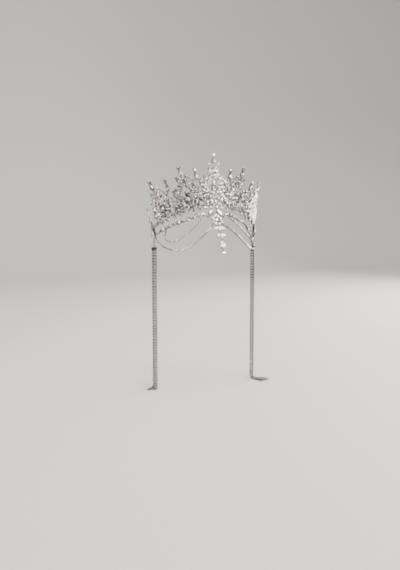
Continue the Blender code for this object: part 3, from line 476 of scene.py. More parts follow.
def roundPair(key, size, along, across, up, lean=0.0, reach=0.0, sides=smallSides):
    lean = radians(lean)
    for way in (1, -1):
        place = onAxis(along, way * (across + reach * sin(lean)), up + reach * cos(lean))
        setRound(key, size, place, sides)


for point, along in places:
    setBigStone("finialPear", dropOutline(*finial["pear"]), onAxis(along, 0, finialPearUp(point)))
    setRound("finialRound", finial["round"], onAxis(along, 0, point["height"] - finial["round"] / 2))
    if point["ring"]:
        pearUp = ringPearUp(point)
        pearWidth, pearHeight = ringWork["pear"]
        setBigStone("ringPear", dropOutline(pearWidth, pearHeight), onAxis(along, 0, pearUp))
        haloReach = 2 * ringWork["haloReach"]
        for x, y in dropOutline(pearWidth + haloReach, pearHeight + haloReach, ringWork["haloStones"],
                                ringWork["haloSharpness"]):
            setRound("haloRound", ringWork["halo"], onAxis(along, x, pearUp + y), smallSides)
        roundUp = pearUp + (pearHeight + ringWork["round"]) / 2 + ringWork["roundGap"]
        setRound("ringRound", ringWork["round"], onAxis(along, 0, roundUp))
        for key, leaves in (("ringLeaf", ringWork["leaves"]), ("sprig", sprigs["around"])):
            for around, lean, share in leaves:
                length = leaf["length"] * share
                width = leaf["width"] * (share if key == "sprig" else 1)
                x, y = ringSide(point, radians(around))
                leafPair("%s%d" % (key, around), leafOutline(width, length), along, x, y, lean,
                         length / 2 - ringWork["leafOverlap"])
        for around, lean, share in ringWork["leaves"][:ringWork["tippedLeaves"]]:
            reach = leaf["length"] * share - ringWork["leafOverlap"] + sprigs["tipReach"]
            x, y = ringSide(point, radians(around))
            roundPair("tipRound", sprigs["tipRound"], along, x, y, lean, reach)
        for around in sprigs["beadAround"]:
            x, y = ringSide(point, radians(around))
            nextX, nextY = ringSide(point, radians(around + sprigs["beadProbe"]))
            out = Vector((y - nextY, nextX - x)).normalized() * (sprigs["bead"] / 2 - sprigs["beadBite"])
            roundPair("bead", sprigs["bead"], along, x + out.x, y + out.y)
        leafPair("footLeaf", leafOutline(leaf["width"], leaf["length"]), along, footLeaves["across"],
                 footLeaves["up"], footLeaves["lean"])
        roundPair("flankRound", finial["flank"], along, finial["flankReach"], finialFoot(point), sides=12)
    else:
        loopFoot = finialFoot(point) + spireWork["bite"] - spireWork["loop"][1]
        for up, across, lean, share in spireWork["leaves"] + [sprigs["spireLeaf"]]:
            length = leaf["length"] * share
            outline = leafOutline(leaf["width"], length)
            leafPair("spireLeaf%d" % lean, outline, along, across, loopFoot * up, lean, length / 2)
            tip = length + sprigs["tipReach"]
            roundPair("tipRound", sprigs["tipRound"], along, across, loopFoot * up, lean, tip)
        stemPlace = onAxis(along, 0, loopFoot * spireWork["stemLeaf"])
        setStone("stemLeaf", leafOutline(leaf["width"], leaf["length"]), stemPlace)
        setRound("flankRound", finial["flank"], onAxis(along, 0, loopFoot * spireWork["stemRound"]))

edgeUp = -(edge["bandHeight"] + edge["round"]) / 2 + edge["overlap"]
for step in range(int((edge["end"] - edge["start"]) / edge["pitch"]) + 1):
    for side in (1, -1):
        setRound("edgeRound", edge["round"], onAxis(side * (edge["start"] + step * edge["pitch"]), 0, edgeUp))
# Sprays between neighbouring points: a stem with leaf pairs, rounds at their tips and a leaf on top.
# The gaps are shares of the half arc, and the tops are heights in millimetres
spray = {"gaps": (0.091, 0.263, 0.4375, 0.6145, 0.80), "tops": (25.0, 23.5, 23.0, 20.0, 15.5),
         "pairs": (0.30, 0.52, 0.74), "lean": 50, "leaf": (3.2 * mm, 6.2 * mm), "stem": 0.9 * mm,
         "stemCuts": 4, "topBite": 0.6 * mm, "leafGap": 0.2 * mm}
# Leaves beside a spire's loop: millimetres across and up from its middle, lean, and length in millimetres
loopSides = {"leaves": [(5.8, -3.4, 18, 5.6), (6.7, 1.6, 4, 5.0)], "widthShare": 0.9}
stemCopies = []


def addStem(start, end):
    deselectAll()
    bpy.ops.mesh.primitive_cylinder_add(vertices=6, radius=spray["stem"] / 2, depth=(end - start).length,
                                        end_fill_type="NGON")
    item = bpy.context.object
    item.name = "stem"
    setMode("EDIT")
    bpy.ops.mesh.select_all(action="SELECT")
    bpy.ops.mesh.subdivide(number_cuts=spray["stemCuts"])
    setMode("OBJECT")
    middle = (start + end) / 2
    turnUp = Vector((0, 1)).angle_signed(end - start)
    item.data.transform(flatMatrix(middle.x, middle.y, turnUp) @ Matrix.Rotation(pi / 2, 4, "X"))
    stemCopies.append(item)


for share, top in zip(spray["gaps"], spray["tops"]):
    top *= mm
    leafWidth, leafLength = spray["leaf"]
    for side in (1, -1):
        along = side * share * halfArc
        addStem(axisSpot(along, 0, 0)[0], axisSpot(along, 0, top)[0])
        topPlace = onAxis(along, 0, top + leafLength / 2 - spray["topBite"])
        setStone("sprayTop", leafOutline(leafWidth, leafLength), topPlace)
        reach = leafLength / 2 + spray["leafGap"]
        tip = leafLength + sprigs["tipReach"]
        for part in spray["pairs"]:
            outline = leafOutline(leafWidth, leafLength)
            leafPair("sprayLeaf", outline, along, 0, top * part, spray["lean"], reach)
            roundPair("tipRound", sprigs["tipRound"], along, 0, top * part, spray["lean"], tip)
for point, along in places:
    if not point["ring"]:
        loopUp = finialFoot(point) + spireWork["bite"] - spireWork["loop"][1] / 2
        for across, up, lean, length in loopSides["leaves"]:
            outline = leafOutline(leaf["width"] * loopSides["widthShare"], length * mm)
            leafPair("loopSide%d" % lean, outline, along, across * mm, loopUp + up * mm, lean)

for step in range(int(sprigs["bandEnd"] / sprigs["bandPitch"])):
    for side in (1, -1):
        place = onAxis(side * (step + 0.5) * sprigs["bandPitch"], 0, sprigs["bandUp"])
        setRound("bandRound", sprigs["bandRound"], place, smallSides)
for step in range(int(sprigs["bandEnd"] / sprigs["bandLeafPitch"])):
    for side in (1, -1):
        lean = side * radians(sprigs["bandLeafLean"]) * (-1 if step % 2 else 1)
        place = onAxis(side * (step + 0.5) * sprigs["bandLeafPitch"], 0, sprigs["bandLeafUp"], lean)
        setStone("bandLeaf", leafOutline(*sprigs["bandLeaf"], 10), place)
for side in (1, -1):
    place = onAxis(side * endLeaf["share"] * halfArc, 0, endLeaf["tip"] - endLeaf["tipLength"] / 2)
    setStone("endTip", leafOutline(endLeaf["tipLength"] / 2, endLeaf["tipLength"], 8), place)
    setBigStone("endStone", ovalOutline(*endStone["size"]),
                flatMatrix(side * endStone["along"], endStone["height"], 0))
print("crown stones placed", len(stoneCopies), len(bigCopies))


# Fine pave along the pointed rings, the loops, the branches and the band. The spacings are shares of a
# stone's size, and the steps are those of the outlines that a row follows
paveCut = {"under": -0.15 * mm, "girdle": 0.25 * mm, "table": 0.6 * mm, "tableShare": 0.5, "spacing": 1.08,
           "rowSpacing": 0.98, "linePitch": 1.1, "ringSteps": 240, "loopSteps": 200, "leafSteps": 160}
# How far the rows on the stems keep from the ring, the loop, the finial and the band
stemPave = {"overRing": 0.5 * mm, "underFinial": 0.3 * mm, "flankFoot": 1.2 * mm, "flankIn": 2 * mm,
            "flankUnder": 1 * mm, "overBand": 2.2 * mm, "underRing": 0.2 * mm, "spireFoot": 2 * mm}
paveCopies = []


def pavePattern(size):
    key = "pave%.2f" % (size / mm)
    if key not in patterns:
        levels = [(paveCut["under"], 1), (paveCut["girdle"], 1), (paveCut["table"], paveCut["tableShare"])]
        patterns[key] = (shapeFromLevels(key, roundOutline(size, smallSides), levels), None)
    return patterns[key][0]


def setPave(spot, size, outward=plateHalf):
    paveCopies.append(copyTo(pavePattern(size), flatMatrix(spot.x, spot.y, 0, outward)))


def paveBetween(outer, inner, size, along, up):
    outer = [Vector(spot) for spot in outer]
    inner = [Vector(spot) for spot in inner]
    total = len(outer)
    walked = size
    for i in range(total):
        middle = (outer[i] + inner[i]) / 2
        middleNext = (outer[(i + 1) % total] + inner[(i + 1) % total]) / 2
        walked += (middleNext - middle).length
        if walked >= size * paveCut["spacing"]:
            walked = 0
            width = (outer[i] - inner[i]).length
            rows = max(1, int(width / (size * paveCut["rowSpacing"])))
            for row in range(rows):
                spot = outer[i].lerp(inner[i], (row + 0.5) / rows)
                setPave(axisSpot(along, spot.x, spot.y + up)[0], size)


def paveRow(start, end, size=spireWork["paveSize"]):
    count = max(1, round((end - start).length / (size * paveCut["linePitch"])))
    for i in range(count):
        setPave(start.lerp(end, (i + 0.5) / count), size)


for point, along in places:
    foot = finialFoot(point)
    if point["ring"]:
        width, height, ringFoot = point["ring"]
        band, tip = ringWork["band"], ringWork["tipShare"]
        outer = dropOutline(width, height, paveCut["ringSteps"], ringWork["sharpness"])
        inner = dropOutline(width - 2 * band, height - (2 + tip) * band, paveCut["ringSteps"],
                            ringWork["sharpness"])
        inner = [(x, y - tip / 2 * band) for x, y in inner]
        paveBetween(outer, inner, ringWork["paveSize"], along, ringFoot + height / 2)
        ringTop = ringFoot + height
        paveRow(axisSpot(along, 0, ringTop + stemPave["overRing"])[0],
                axisSpot(along, 0, foot - stemPave["underFinial"])[0])
        for way in (1, -1):
            start = axisSpot(along, way * stemPave["flankFoot"], ringTop - stemPave["flankFoot"])[0]
            reach = way * (finial["flankReach"] - stemPave["flankIn"])
            paveRow(start, axisSpot(along, reach, foot - stemPave["flankUnder"])[0])
        paveRow(axisSpot(along, 0, stemPave["overBand"])[0],
                axisSpot(along, 0, ringFoot - stemPave["underRing"])[0], edge["paveSize"])
    else:
        width, height = spireWork["loop"]
        bands = 2 * spireWork["band"]
        outer = dropOutline(width, height, paveCut["loopSteps"], spireWork["sharpness"])
        inner = dropOutline(width - bands, height - bands, paveCut["loopSteps"], spireWork["sharpness"])
        loopUp = foot + spireWork["bite"] - height / 2
        paveBetween(outer, inner, spireWork["paveSize"], along, loopUp)
        paveRow(axisSpot(along, 0, stemPave["spireFoot"])[0], axisSpot(along, 0, loopUp - height / 2)[0])

count = round(2 * halfArc / edge["pavePitch"])
for number in range(count):
    along = halfArc * (2 * (number + 0.5) / count - 1)
    for row in edge["paveRows"]:
        setPave(axisSpot(along, 0, row * edge["bandHeight"])[0], edge["paveSize"], edge["bandFace"])
for side in (1, -1):
    along = side * endLeaf["share"] * halfArc
    up = edge["bandHeight"] / 2 + endLeaf["height"] / 2 - endLeaf["bite"]
    outer = leafOutline(endLeaf["width"], endLeaf["height"], paveCut["leafSteps"])
    inner = leafOutline(endLeaf["width"] - 2 * endLeaf["band"],
                        endLeaf["height"] - endLeaf["bandsLong"] * endLeaf["band"], paveCut["leafSteps"])
    paveBetween(outer, inner, spireWork["paveSize"], along, up)


# V branches between neighbouring points
branches = {"sagOuter": 4.0 * mm, "sagInner": 1.3 * mm, "joinsRing": 70}


def paveBranch(start, end, sag):
    low = (start + end) / 2 - Vector((0, sag))
    paveRow(start, low)
    paveRow(low, end)


for side in (1, -1):
    for number in (1, 3):
        spire, ringIn, ringOut = points[number], points[number - 1], points[number + 1]
        top = axisSpot(side * spire["share"] * halfArc, 0, finialFoot(spire) - spireWork["bite"])[0]
        outerAlong = side * ringOut["share"] * halfArc
        outerEnd = axisSpot(outerAlong, -side * finial["flankReach"], finialFoot(ringOut))[0]
        x, y = ringSide(ringIn, radians(branches["joinsRing"]))
        innerEnd = axisSpot(side * ringIn["share"] * halfArc, side * x, y)[0]
        paveBranch(top, outerEnd, branches["sagOuter"])
        paveBranch(top, innerEnd, branches["sagInner"])
print("pave placed", len(paveCopies))

crownStones = joinCopies("crownStones", stoneCopies, crystal)
crownCollets = joinCopies("crownCollets", colletCopies + stemCopies, metal)
crownPears = joinCopies("crownPears", bigCopies, pearCrystal)
crownClaws = joinCopies("crownClaws", clawCopies, metal)
crownPave = joinCopies("crownPave", paveCopies, pave)
for piece in (crownStones, crownCollets, crownPears, crownClaws, crownPave):
    bendOntoWall(piece)
finishPiece(crownStones)
finishPiece(crownCollets)
looseStones = ["finial_pear_%d" % n for n in range(1, 10)] + ["ring_pear_%d" % n for n in (1, 3, 5, 7, 9)]
finishPiece(crownPears, looseStones + ["end_stone_left", "end_stone_right"])
finishPiece(crownClaws)
finishPiece(crownPave)
print("crown dressed")


# Forehead ornament, drawn flat: x to the right, y up it, z to its front
ornament = {"forward": 51.0 * mm, "height": 13.4 * mm, "lean": 35, "stone": 6.4 * mm, "cornerCut": 0.28,
            "pear": (7.2 * mm, 10.8 * mm), "pearAcross": 6.4 * mm, "pearUp": 12.4 * mm, "pearTurn": 148,
            "pearClaws": 5, "round": 4.0 * mm, "reach": 6.4 * mm, "rounds": 8, "linkRound": 3.6 * mm,
            "linkGap": 0.4 * mm, "half": 1.3 * mm}
rings = {"wire": 0.35 * mm, "eye": 1.25 * mm, "sink": 0.8 * mm, "link": 1.9 * mm, "gap": 0.3 * mm}
drops = {"half": 1.1 * mm, "leans": (41, 33, 20, 17), "round": 4.2 * mm, "leaf": (4.4 * mm, 9.2 * mm),
         "leafTurn": 117, "leafAcross": 4.2 * mm, "stem": (3.2 * mm, 5.4 * mm), "bite": 0.8 * mm,
         "lowerShare": 0.9, "pear": (8.4 * mm, 11.6 * mm), "pearSides": 18, "last": 5.4 * mm, "lastSides": 14}


def hungMatrix(forward, height, lean):
    c, s = cos(radians(lean)), sin(radians(lean))
    return Matrix(((1, 0, 0, 0), (0, s, -c, -forward), (0, c, s, height), (0, 0, 0, 1)))


def flatSpot(across, up, turn=0.0):
    return Matrix.Translation((across, up, 0)) @ Matrix.Rotation(-turn, 4, "Z")


def eyeDrop(edgeUp):
    return edgeUp - rings["eye"] - rings["wire"] + rings["sink"]


def linkStep(upper, lower):
    return upper + lower - 2 * rings["wire"] - rings["gap"]


# Sets a stone of the piece that is being dressed, in its stones and collets
def hangStone(key, outline, place, half=plateHalf, twist=False):
    setStone(key, outline, place, half, twist, stones, collets)


ornamentAt = hungMatrix(ornament["forward"], ornament["height"], ornament["lean"])
stones, collets, pears, claws = [], [], [], []
for number in range(ornament["rounds"]):
    angle = 2 * pi * (number + 0.5) / ornament["rounds"]
    place = ornamentAt @ flatSpot(ornament["reach"] * sin(angle), ornament["reach"] * cos(angle))
    hangStone("clusterRound", roundOutline(ornament["round"]), place, ornament["half"], True)
linkUp = ornament["reach"] + ornament["linkRound"] / 2 + ornament["linkGap"]
linkPlace = ornamentAt @ flatSpot(0, linkUp)
hangStone("linkRound", roundOutline(ornament["linkRound"]), linkPlace, ornament["half"], True)
setBigStone("cushion", cushionOutline(ornament["stone"], ornament["cornerCut"]), ornamentAt, pears, claws)
for side in (1, -1):
    spot = flatSpot(side * ornament["pearAcross"], ornament["pearUp"], side * radians(ornament["pearTurn"]))
    setBigStone("ornamentPear", dropOutline(*ornament["pear"]), ornamentAt @ spot, pears, claws,
                ornament["pearClaws"])


def nextHung(hook, step, lean):
    return hungMatrix(-hook.y + step * sin(radians(lean)), hook.z - step * cos(radians(lean)), lean)


def hungMiddle(halfLength):
    return -(rings["eye"] + rings["wire"] - rings["sink"] + halfLength)


def placeFan(at, size):
    roundUp = hungMiddle(drops["round"] * size / 2)
    leafUp = roundUp - drops["bite"]
    stemUp = roundUp - (drops["round"] / 2 + drops["stem"][1] / 2 - drops["bite"]) * size
    outline = roundOutline(drops["round"] * size)
    hangStone("fanRound%.1f" % size, outline, at @ flatSpot(0, roundUp), drops["half"], True)
    outline = leafOutline(drops["stem"][0] * size, drops["stem"][1] * size)
    hangStone("fanStem%.1f" % size, outline, at @ flatSpot(0, stemUp))
    outline = leafOutline(drops["leaf"][0] * size, drops["leaf"][1] * size)
    for side in (1, -1):
        spot = flatSpot(side * drops["leafAcross"] * size, leafUp, side * radians(drops["leafTurn"]))
        hangStone("fanLeaf%.1f" % size, outline, at @ spot)
    return eyeDrop(stemUp - drops["stem"][1] * size / 2)


step = linkStep(rings["eye"], rings["eye"])
at = ornamentAt @ flatSpot(0, eyeDrop(-ornament["reach"] - ornament["round"] / 2))
at = nextHung(at.translation, step, drops["leans"][0])
foot = placeFan(at, 1.0)
at = nextHung(at @ Vector((0, foot, 0)), step, drops["leans"][1])
foot = placeFan(at, drops["lowerShare"])
at = nextHung(at @ Vector((0, foot, 0)), step, drops["leans"][2])
pearUp = hungMiddle(drops["pear"][1] / 2)
outline = dropOutline(*drops["pear"], drops["pearSides"])
hangStone("dropPear", outline, at @ flatSpot(0, pearUp), drops["half"])
at = nextHung(at @ Vector((0, eyeDrop(pearUp - drops["pear"][1] / 2), 0)), step, drops["leans"][3])
roundUp = hungMiddle(drops["last"] / 2)
outline = roundOutline(drops["last"], drops["lastSides"])
hangStone("dropRound", outline, at @ flatSpot(0, roundUp), drops["half"], True)
finishPiece(joinCopies("ornamentStones", stones, crystal))
finishPiece(joinCopies("ornamentCollets", collets, metal))
ornamentNodes = ["ornament_pear_left", "ornament_pear_right", "ornament_stone"]
finishPiece(joinCopies("ornamentPears", pears, pearCrystal), ornamentNodes)
finishPiece(joinCopies("ornamentClaws", claws, metal))
print("ornament dressed")


# Chains draped on the brow, which is an ellipsoid. A route's knots are (degrees from the front, height in
# millimetres)
brow = {"middle": Vector((0, 15 * mm, -40 * mm)), "radii": (76 * mm, 92 * mm, 80 * mm), "standoff": 2.4 * mm}
routeParts = 16
routes = {
    "forehead": [(21, 20.0), (32, 16.5), (46, 10.8), (60, 5.5), (71, 0.0)],
    "upper": [(26, 9.5), (33, 1.0), (42, -9.0), (51, -16.3), (59, -16.8), (65.5, -12.0)],
    "lower": [(12, 1.5), (19, -6.0), (28, -16.5), (38, -25.5), (50, -28.5), (62, -26.0), (73, -19.5)],
}
foreheadUnits = {"pitch": 15.0 * mm, "leaf": (4.2 * mm, 8.0 * mm), "pear": (3.6 * mm, 5.0 * mm),
                 "pearSides": 12, "pearTurn": 34, "wide": 1.12, "pearAlong": 2.8 * mm, "pearAcross": 1.7 * mm,
                 "round": 2.8 * mm, "roundAlong": 13.9 * mm, "spacing": 1.5 * mm}


def browNormal(spot):
    away = spot - brow["middle"]
    return Vector([away[i] / brow["radii"][i] ** 2 for i in range(3)]).normalized()


def browPoint(angle, height):
    radii = brow["radii"]
    rise = (height * mm - brow["middle"].z) / radii[2]
    waist = sqrt(1 - rise ** 2)
    flat = (radii[0] * waist * sin(radians(angle)), -radii[1] * waist * cos(radians(angle)), radii[2] * rise)
    spot = brow["middle"] + Vector(flat)
    return spot + browNormal(spot) * brow["standoff"]


def smoothRoute(knots, spacing):
    ends = [knots[0] * 2 - knots[1]] + knots + [knots[-1] * 2 - knots[-2]]
    fine = []
    for i in range(1, len(ends) - 2):
        before, start, end, after = ends[i - 1:i + 3]
        for part in range(routeParts):
            t = part / routeParts
            square = 2 * before - 5 * start + 4 * end - after
            cube = 3 * start - before - 3 * end + after
            fine.append(0.5 * (2 * start + (end - before) * t + square * t ** 2 + cube * t ** 3))
    fine.append(knots[-1])
    total = sum((b - a).length for a, b in zip(fine, fine[1:]))
    count = max(2, round(total / spacing))
    spaced = [fine[0]]
    walked = 0.0
    for a, b in zip(fine, fine[1:]):
        run = (b - a).length
        while len(spaced) < count and walked + run >= total / count * len(spaced):
            spaced.append(a.lerp(b, (total / count * len(spaced) - walked) / run))
        walked += run
    spaced.append(fine[-1])
    return spaced, total


def routeSpot(route, total, along, up, out):
    place = min(max(along / total, 0), 1) * (len(route) - 1)
    number = min(int(place), len(route) - 2)
    start, end = route[number], route[number + 1]
    ahead = (end - start).normalized()
    spot = start + (end - start) * (place - number)
    over = along - min(max(along, 0), total)
    outward = browNormal(spot)
    outward = (outward - ahead * outward.dot(ahead)).normalized()
    return spot + ahead * over + outward * out + ahead.cross(-outward) * up


turn = radians(ornament["pearTurn"])
reach = ornament["pear"][1] / 2 + finial["rim"] - eyeDrop(0)
eyeAcross = ornament["pearAcross"] + reach * sin(turn)
sideEye = ornamentAt @ flatSpot(eyeAcross, ornament["pearUp"] + reach * cos(turn), turn)
innerEye = sideEye @ Vector((0, step, 0))
templeAlong = endStone["along"] + eyeDrop(-endStone["size"][0] / 2 - finial["rim"])
templeEye = wallPoint(templeAlong, endStone["height"], 0)
levelWay = browPoint(*routes["forehead"][-1]) - templeEye
levelWay.z = 0
outerEye = templeEye + levelWay.normalized() * step
foreheadKnots = [innerEye] + [browPoint(*knot) for knot in routes["forehead"]] + [outerEye]
foreheadRoute, foreheadTotal = smoothRoute(foreheadKnots, foreheadUnits["spacing"])
unitCount = int((foreheadTotal - 2 * rings["eye"]) / foreheadUnits["pitch"])
spare = foreheadTotal - 2 * rings["eye"] - unitCount * foreheadUnits["pitch"]
unitStarts = [rings["eye"] + spare / 2 + number * foreheadUnits["pitch"] for number in range(unitCount)]


def mirrorCopy(item, name):
    other = item.copy()
    other.data = item.data.copy()
    bpy.context.collection.objects.link(other)
    other.name = name
    other.data.transform(Matrix.Scale(-1, 4, (1, 0, 0)))
    other.data.flip_normals()
    return other


stones, collets = [], []
leafWidth, leafLength = foreheadUnits["leaf"]
pearWidth, pearLength = foreheadUnits["pear"]
leafShape = leafOutline(leafWidth * foreheadUnits["wide"], leafLength)
pearShape = dropOutline(pearWidth * foreheadUnits["wide"], pearLength, foreheadUnits["pearSides"])
for start in unitStarts:
    place = flatMatrix(start + leafLength / 2, 0, pi / 2)
    hangStone("chainLeaf", leafShape, place)
    pearAlong = start + leafLength + foreheadUnits["pearAlong"]
    for side in (1, -1):
        place = flatMatrix(pearAlong, side * foreheadUnits["pearAcross"],
                           pi / 2 - side * radians(foreheadUnits["pearTurn"]))
        hangStone("chainPear", pearShape, place)
    place = flatMatrix(start + foreheadUnits["roundAlong"], 0, 0)
    hangStone("chainRound", roundOutline(foreheadUnits["round"], smallSides), place, twist=True)
for name, copies, material, slot in (("foreheadStones", stones, crystal, "crystal"),
                                     ("foreheadCollets", collets, metal, "metal")):
    piece = joinCopies(name + "Right", copies, material)
    for vertex in piece.data.vertices:
        vertex.co = routeSpot(foreheadRoute, foreheadTotal, vertex.co.x, vertex.co.z, -vertex.co.y)
    piece.data.update()
    other = mirrorCopy(piece, name + "Left")
    finishPiece(piece)
    finishPiece(other)
print("forehead chains dressed")


# Cup chain: a round stone in a four-clawed cup, with a bar to the next one behind. The levels are (height,
# width), the bar's length is a share of the pitch, and the rest are shares of the stone's size
cupChain = {"stoneShare": 0.94, "stoneSides": 10, "cup": [(-0.42, 0.62), (-0.1, 0.98), (0.14, 1.0)],
            "stone": [(0, 0.8), (0.22, 1.0), (0.34, 0.86), (0.46, 0.58)], "bar": (0.22, 0.14),
            "barLength": 1.02, "barDown": 0.34, "grips": 4, "gripFoot": 0.2, "gripTip": 0.05,
            "gripLength": 0.5, "gripReach": 0.5, "gripUp": 0.08}


def cupPatterns(size, pitch):
    key = "cup%.2f" % (size / mm)
    if key not in patterns:
        outline = roundOutline(size * cupChain["stoneShare"], cupChain["stoneSides"])
        levels = [(size * up, share) for up, share in cupChain["stone"]]
        stone = shapeFromLevels(key + " stone", outline, levels, stoneCut["twistLevel"])
        cup = shapeFromLevels(key + " cup", roundOutline(size, smallSides),
                              [(size * up, share) for up, share in cupChain["cup"]])
        deselectAll()
        bpy.ops.mesh.primitive_cube_add(size=1)
        bar = bpy.context.object
        bar.scale = (size * cupChain["bar"][0], pitch * cupChain["barLength"], size * cupChain["bar"][1])
        bar.location = (0, pitch / 2, -size * cupChain["barDown"])
        bpy.ops.object.transform_apply()
        grips = []
        reach = size * cupChain["gripReach"]
        for number in range(cupChain["grips"]):
            angle = pi / 4 + number * 2 * pi / cupChain["grips"]
            spot = (reach * cos(angle), reach * sin(angle), size * cupChain["gripUp"])
            bpy.ops.mesh.primitive_cone_add(vertices=5, radius1=size * cupChain["gripFoot"] / 2,
                                            radius2=size * cupChain["gripTip"],
                                            depth=size * cupChain["gripLength"], location=spot)
            bpy.ops.object.transform_apply()
            grips.append(bpy.context.object)
        patterns[key] = (stone, joinCopies(key + " setting", [cup, bar] + grips, metal))
    return patterns[key]


def chainMatrix(spot, ahead, outward):
    outward = (outward - ahead * outward.dot(ahead)).normalized()
    place = Matrix((ahead.cross(outward), ahead, outward)).transposed().to_4x4()
    place.translation = spot
    return place


def placeCups(route, normals, size, pitch, stones, settings):
    stone, setting = cupPatterns(size, pitch)
    for number, spot in enumerate(route):
        ahead = (route[min(number + 1, len(route) - 1)] - route[max(number - 1, 0)]).normalized()
        place = chainMatrix(spot, ahead, normals[number])
        stones.append(copyTo(stone, place))
        settings.append(copyTo(setting, place))


# Swags: size and pitch of the stones, and where the ends join
swags = {"upper": (2.3 * mm, 2.8 * mm), "lower": (3.0 * mm, 3.6 * mm), "upperTilt": 0.2 * mm,
         "lowerTilt": 0.5 * mm, "joinsCluster": 128, "joinsEndStone": 40, "innerReach": 7.8 * mm,
         "endGap": 0.5 * mm}
below = -(foreheadUnits["leaf"][0] / 2 + rings["gap"] + swags["upperTilt"])
half = foreheadUnits["leaf"][1] / 2
upperEnds = [routeSpot(foreheadRoute, foreheadTotal, unitStarts[n] + half, below, 0) for n in (0, -1)]
upperKnots = [upperEnds[0]] + [browPoint(*k) for k in routes["upper"]] + [upperEnds[1]]
angle = radians(swags["joinsCluster"])
turn = radians(swags["joinsEndStone"])
clear = 2 * rings["gap"] + swags["endGap"] + swags["lowerTilt"]
lastSpot = wallPoint(endStone["along"] - (endStone["size"][0] / 2 + clear) * sin(turn),
                     endStone["height"] - (endStone["size"][1] / 2 + clear) * cos(turn), 0)
firstSpot = ornamentAt @ Vector((swags["innerReach"] * sin(angle), swags["innerReach"] * cos(angle), 0))
lowerKnots = [firstSpot] + [browPoint(*k) for k in routes["lower"]] + [lastSpot]
for word, knots in (("upper", upperKnots), ("lower", lowerKnots)):
    size, pitch = swags[word]
    route = smoothRoute(knots, pitch)[0]
    stones, settings = [], []
    placeCups(route, [browNormal(spot) for spot in route], size, pitch, stones, settings)
    stonePiece = joinCopies("%sSwagStonesRight" % word, stones, chainCrystal)
    cupPiece = joinCopies("%sSwagCupsRight" % word, settings, metal)
    otherStones = mirrorCopy(stonePiece, "%sSwagStonesLeft" % word)
    otherCups = mirrorCopy(cupPiece, "%sSwagCupsLeft" % word)
    finishPiece(stonePiece)
    finishPiece(otherStones)
    finishPiece(cupPiece, ["swag_%s_right" % word])
    finishPiece(otherCups, ["swag_%s_left" % word])
print("drapes dressed")


# Tassels: four strands of cup chain from a cap, with their ends lying on the surface
tassel = {"floor": -231.6 * mm, "strands": 4, "tube": 2.6 * mm, "size": 2.9 * mm, "pitch": 4.1 * mm,
          "across": 1.95 * mm, "stagger": 1.15 * mm, "startShare": 0.4, "bend": 6.0 * mm, "fan": 9,
          "capHeight": 3.0 * mm, "capMargin": 0.4 * mm, "capOverlap": 0.4 * mm, "capSides": 20,
          "cap": [(-1, 0.96), (-0.85, 1.0), (-0.35, 1.0), (-0.1, 0.86), (0, 0.6)],
          "tails": {"left": (-33, 17.0 * mm), "right": (35, 27.0 * mm)}}


def strandRoute(x, y, top, heading, tail):
    lie = tassel["floor"] + tassel["tube"] / 2
    bend = tassel["bend"]
    out = Vector((sin(radians(heading)), -cos(radians(heading)), 0))
    drop = top - lie - bend
    total = drop + bend * pi / 2 + tail - bend
    route, normals = [], []
    along = tassel["pitch"] * tassel["startShare"]
    while along < total - tassel["size"] / 2:
        if along < drop:
            spot, normal = Vector((x, y, top - along)), out
        elif along < drop + bend * pi / 2:
            a = (along - drop) / bend
            spot = Vector((x, y, lie + bend)) + out * bend * (1 - cos(a)) - Vector((0, 0, bend * sin(a)))
            normal = out * cos(a) + Vector((0, 0, sin(a)))
        else:
            spot = Vector((x, y, lie)) + out * (bend + along - drop - bend * pi / 2)
            normal = Vector((0, 0, 1))
        route.append(spot)
        normals.append(normal)
        along += tassel["pitch"]
    return route, normals


for side, word in ((-1, "left"), (1, "right")):
    eyeHeight = eyeDrop(endStone["height"] - endStone["size"][1] / 2 - finial["rim"])
    eyeSpot = wallPoint(side * endStone["along"], eyeHeight, 0)
    hang = 2 * linkStep(rings["eye"], rings["link"]) + 2 * linkStep(rings["link"], rings["link"])
    capEye = eyeSpot.z - hang
    capTop = capEye - rings["eye"] - rings["wire"] + rings["sink"]
    heading, tail = tassel["tails"][word]
    stones, settings = [], []
    top = capTop - tassel["capHeight"] + tassel["capOverlap"]
    for number in range(tassel["strands"]):
        shift = number - (tassel["strands"] - 1) / 2
        stagger = tassel["stagger"] if number % 2 else -tassel["stagger"]
        route, normals = strandRoute(eyeSpot.x + shift * tassel["across"], eyeSpot.y + stagger, top,
                                     heading + shift * tassel["fan"], tail)
        placeCups(route, normals, tassel["size"], tassel["pitch"], stones, settings)
    wide = ((tassel["strands"] - 1) * tassel["across"] + tassel["tube"]) + 2 * tassel["capMargin"]
    deep = 2 * tassel["stagger"] + tassel["tube"] + 2 * tassel["capMargin"]
    cap = shapeFromLevels("cap", ovalOutline(wide, deep, tassel["capSides"]),
                          [(tassel["capHeight"] * up, share) for up, share in tassel["cap"]])
    cap.data.transform(Matrix.Translation((eyeSpot.x, eyeSpot.y, capTop)))
    deselectAll()
    bpy.ops.mesh.primitive_torus_add(major_segments=20, minor_segments=8, major_radius=rings["eye"],
                                     minor_radius=rings["wire"], location=(eyeSpot.x, eyeSpot.y, capEye),
                                     rotation=(pi / 2, 0, 0))
    bpy.ops.object.transform_apply()
    capRing = bpy.context.object
    name = word.capitalize()
    finishPiece(joinCopies("tasselStones" + name, stones, tasselCrystal))
    cupPiece = joinCopies("tasselCups" + name, settings + [cap, capRing], metal)
    finishPiece(cupPiece, ["tassel_" + word])
print("tassels dressed")

# The patterns themselves are done with, and the CAD nodes that stay in sight are all metal
for pattern in patterns.values():
    for item in pattern:
        if item:
            bpy.data.objects.remove(item)

for item in nodes.values():
    if not item.material_slots:
        item.data.materials.append(metal)
    for materialSlot in item.material_slots:
        materialSlot.material = metal


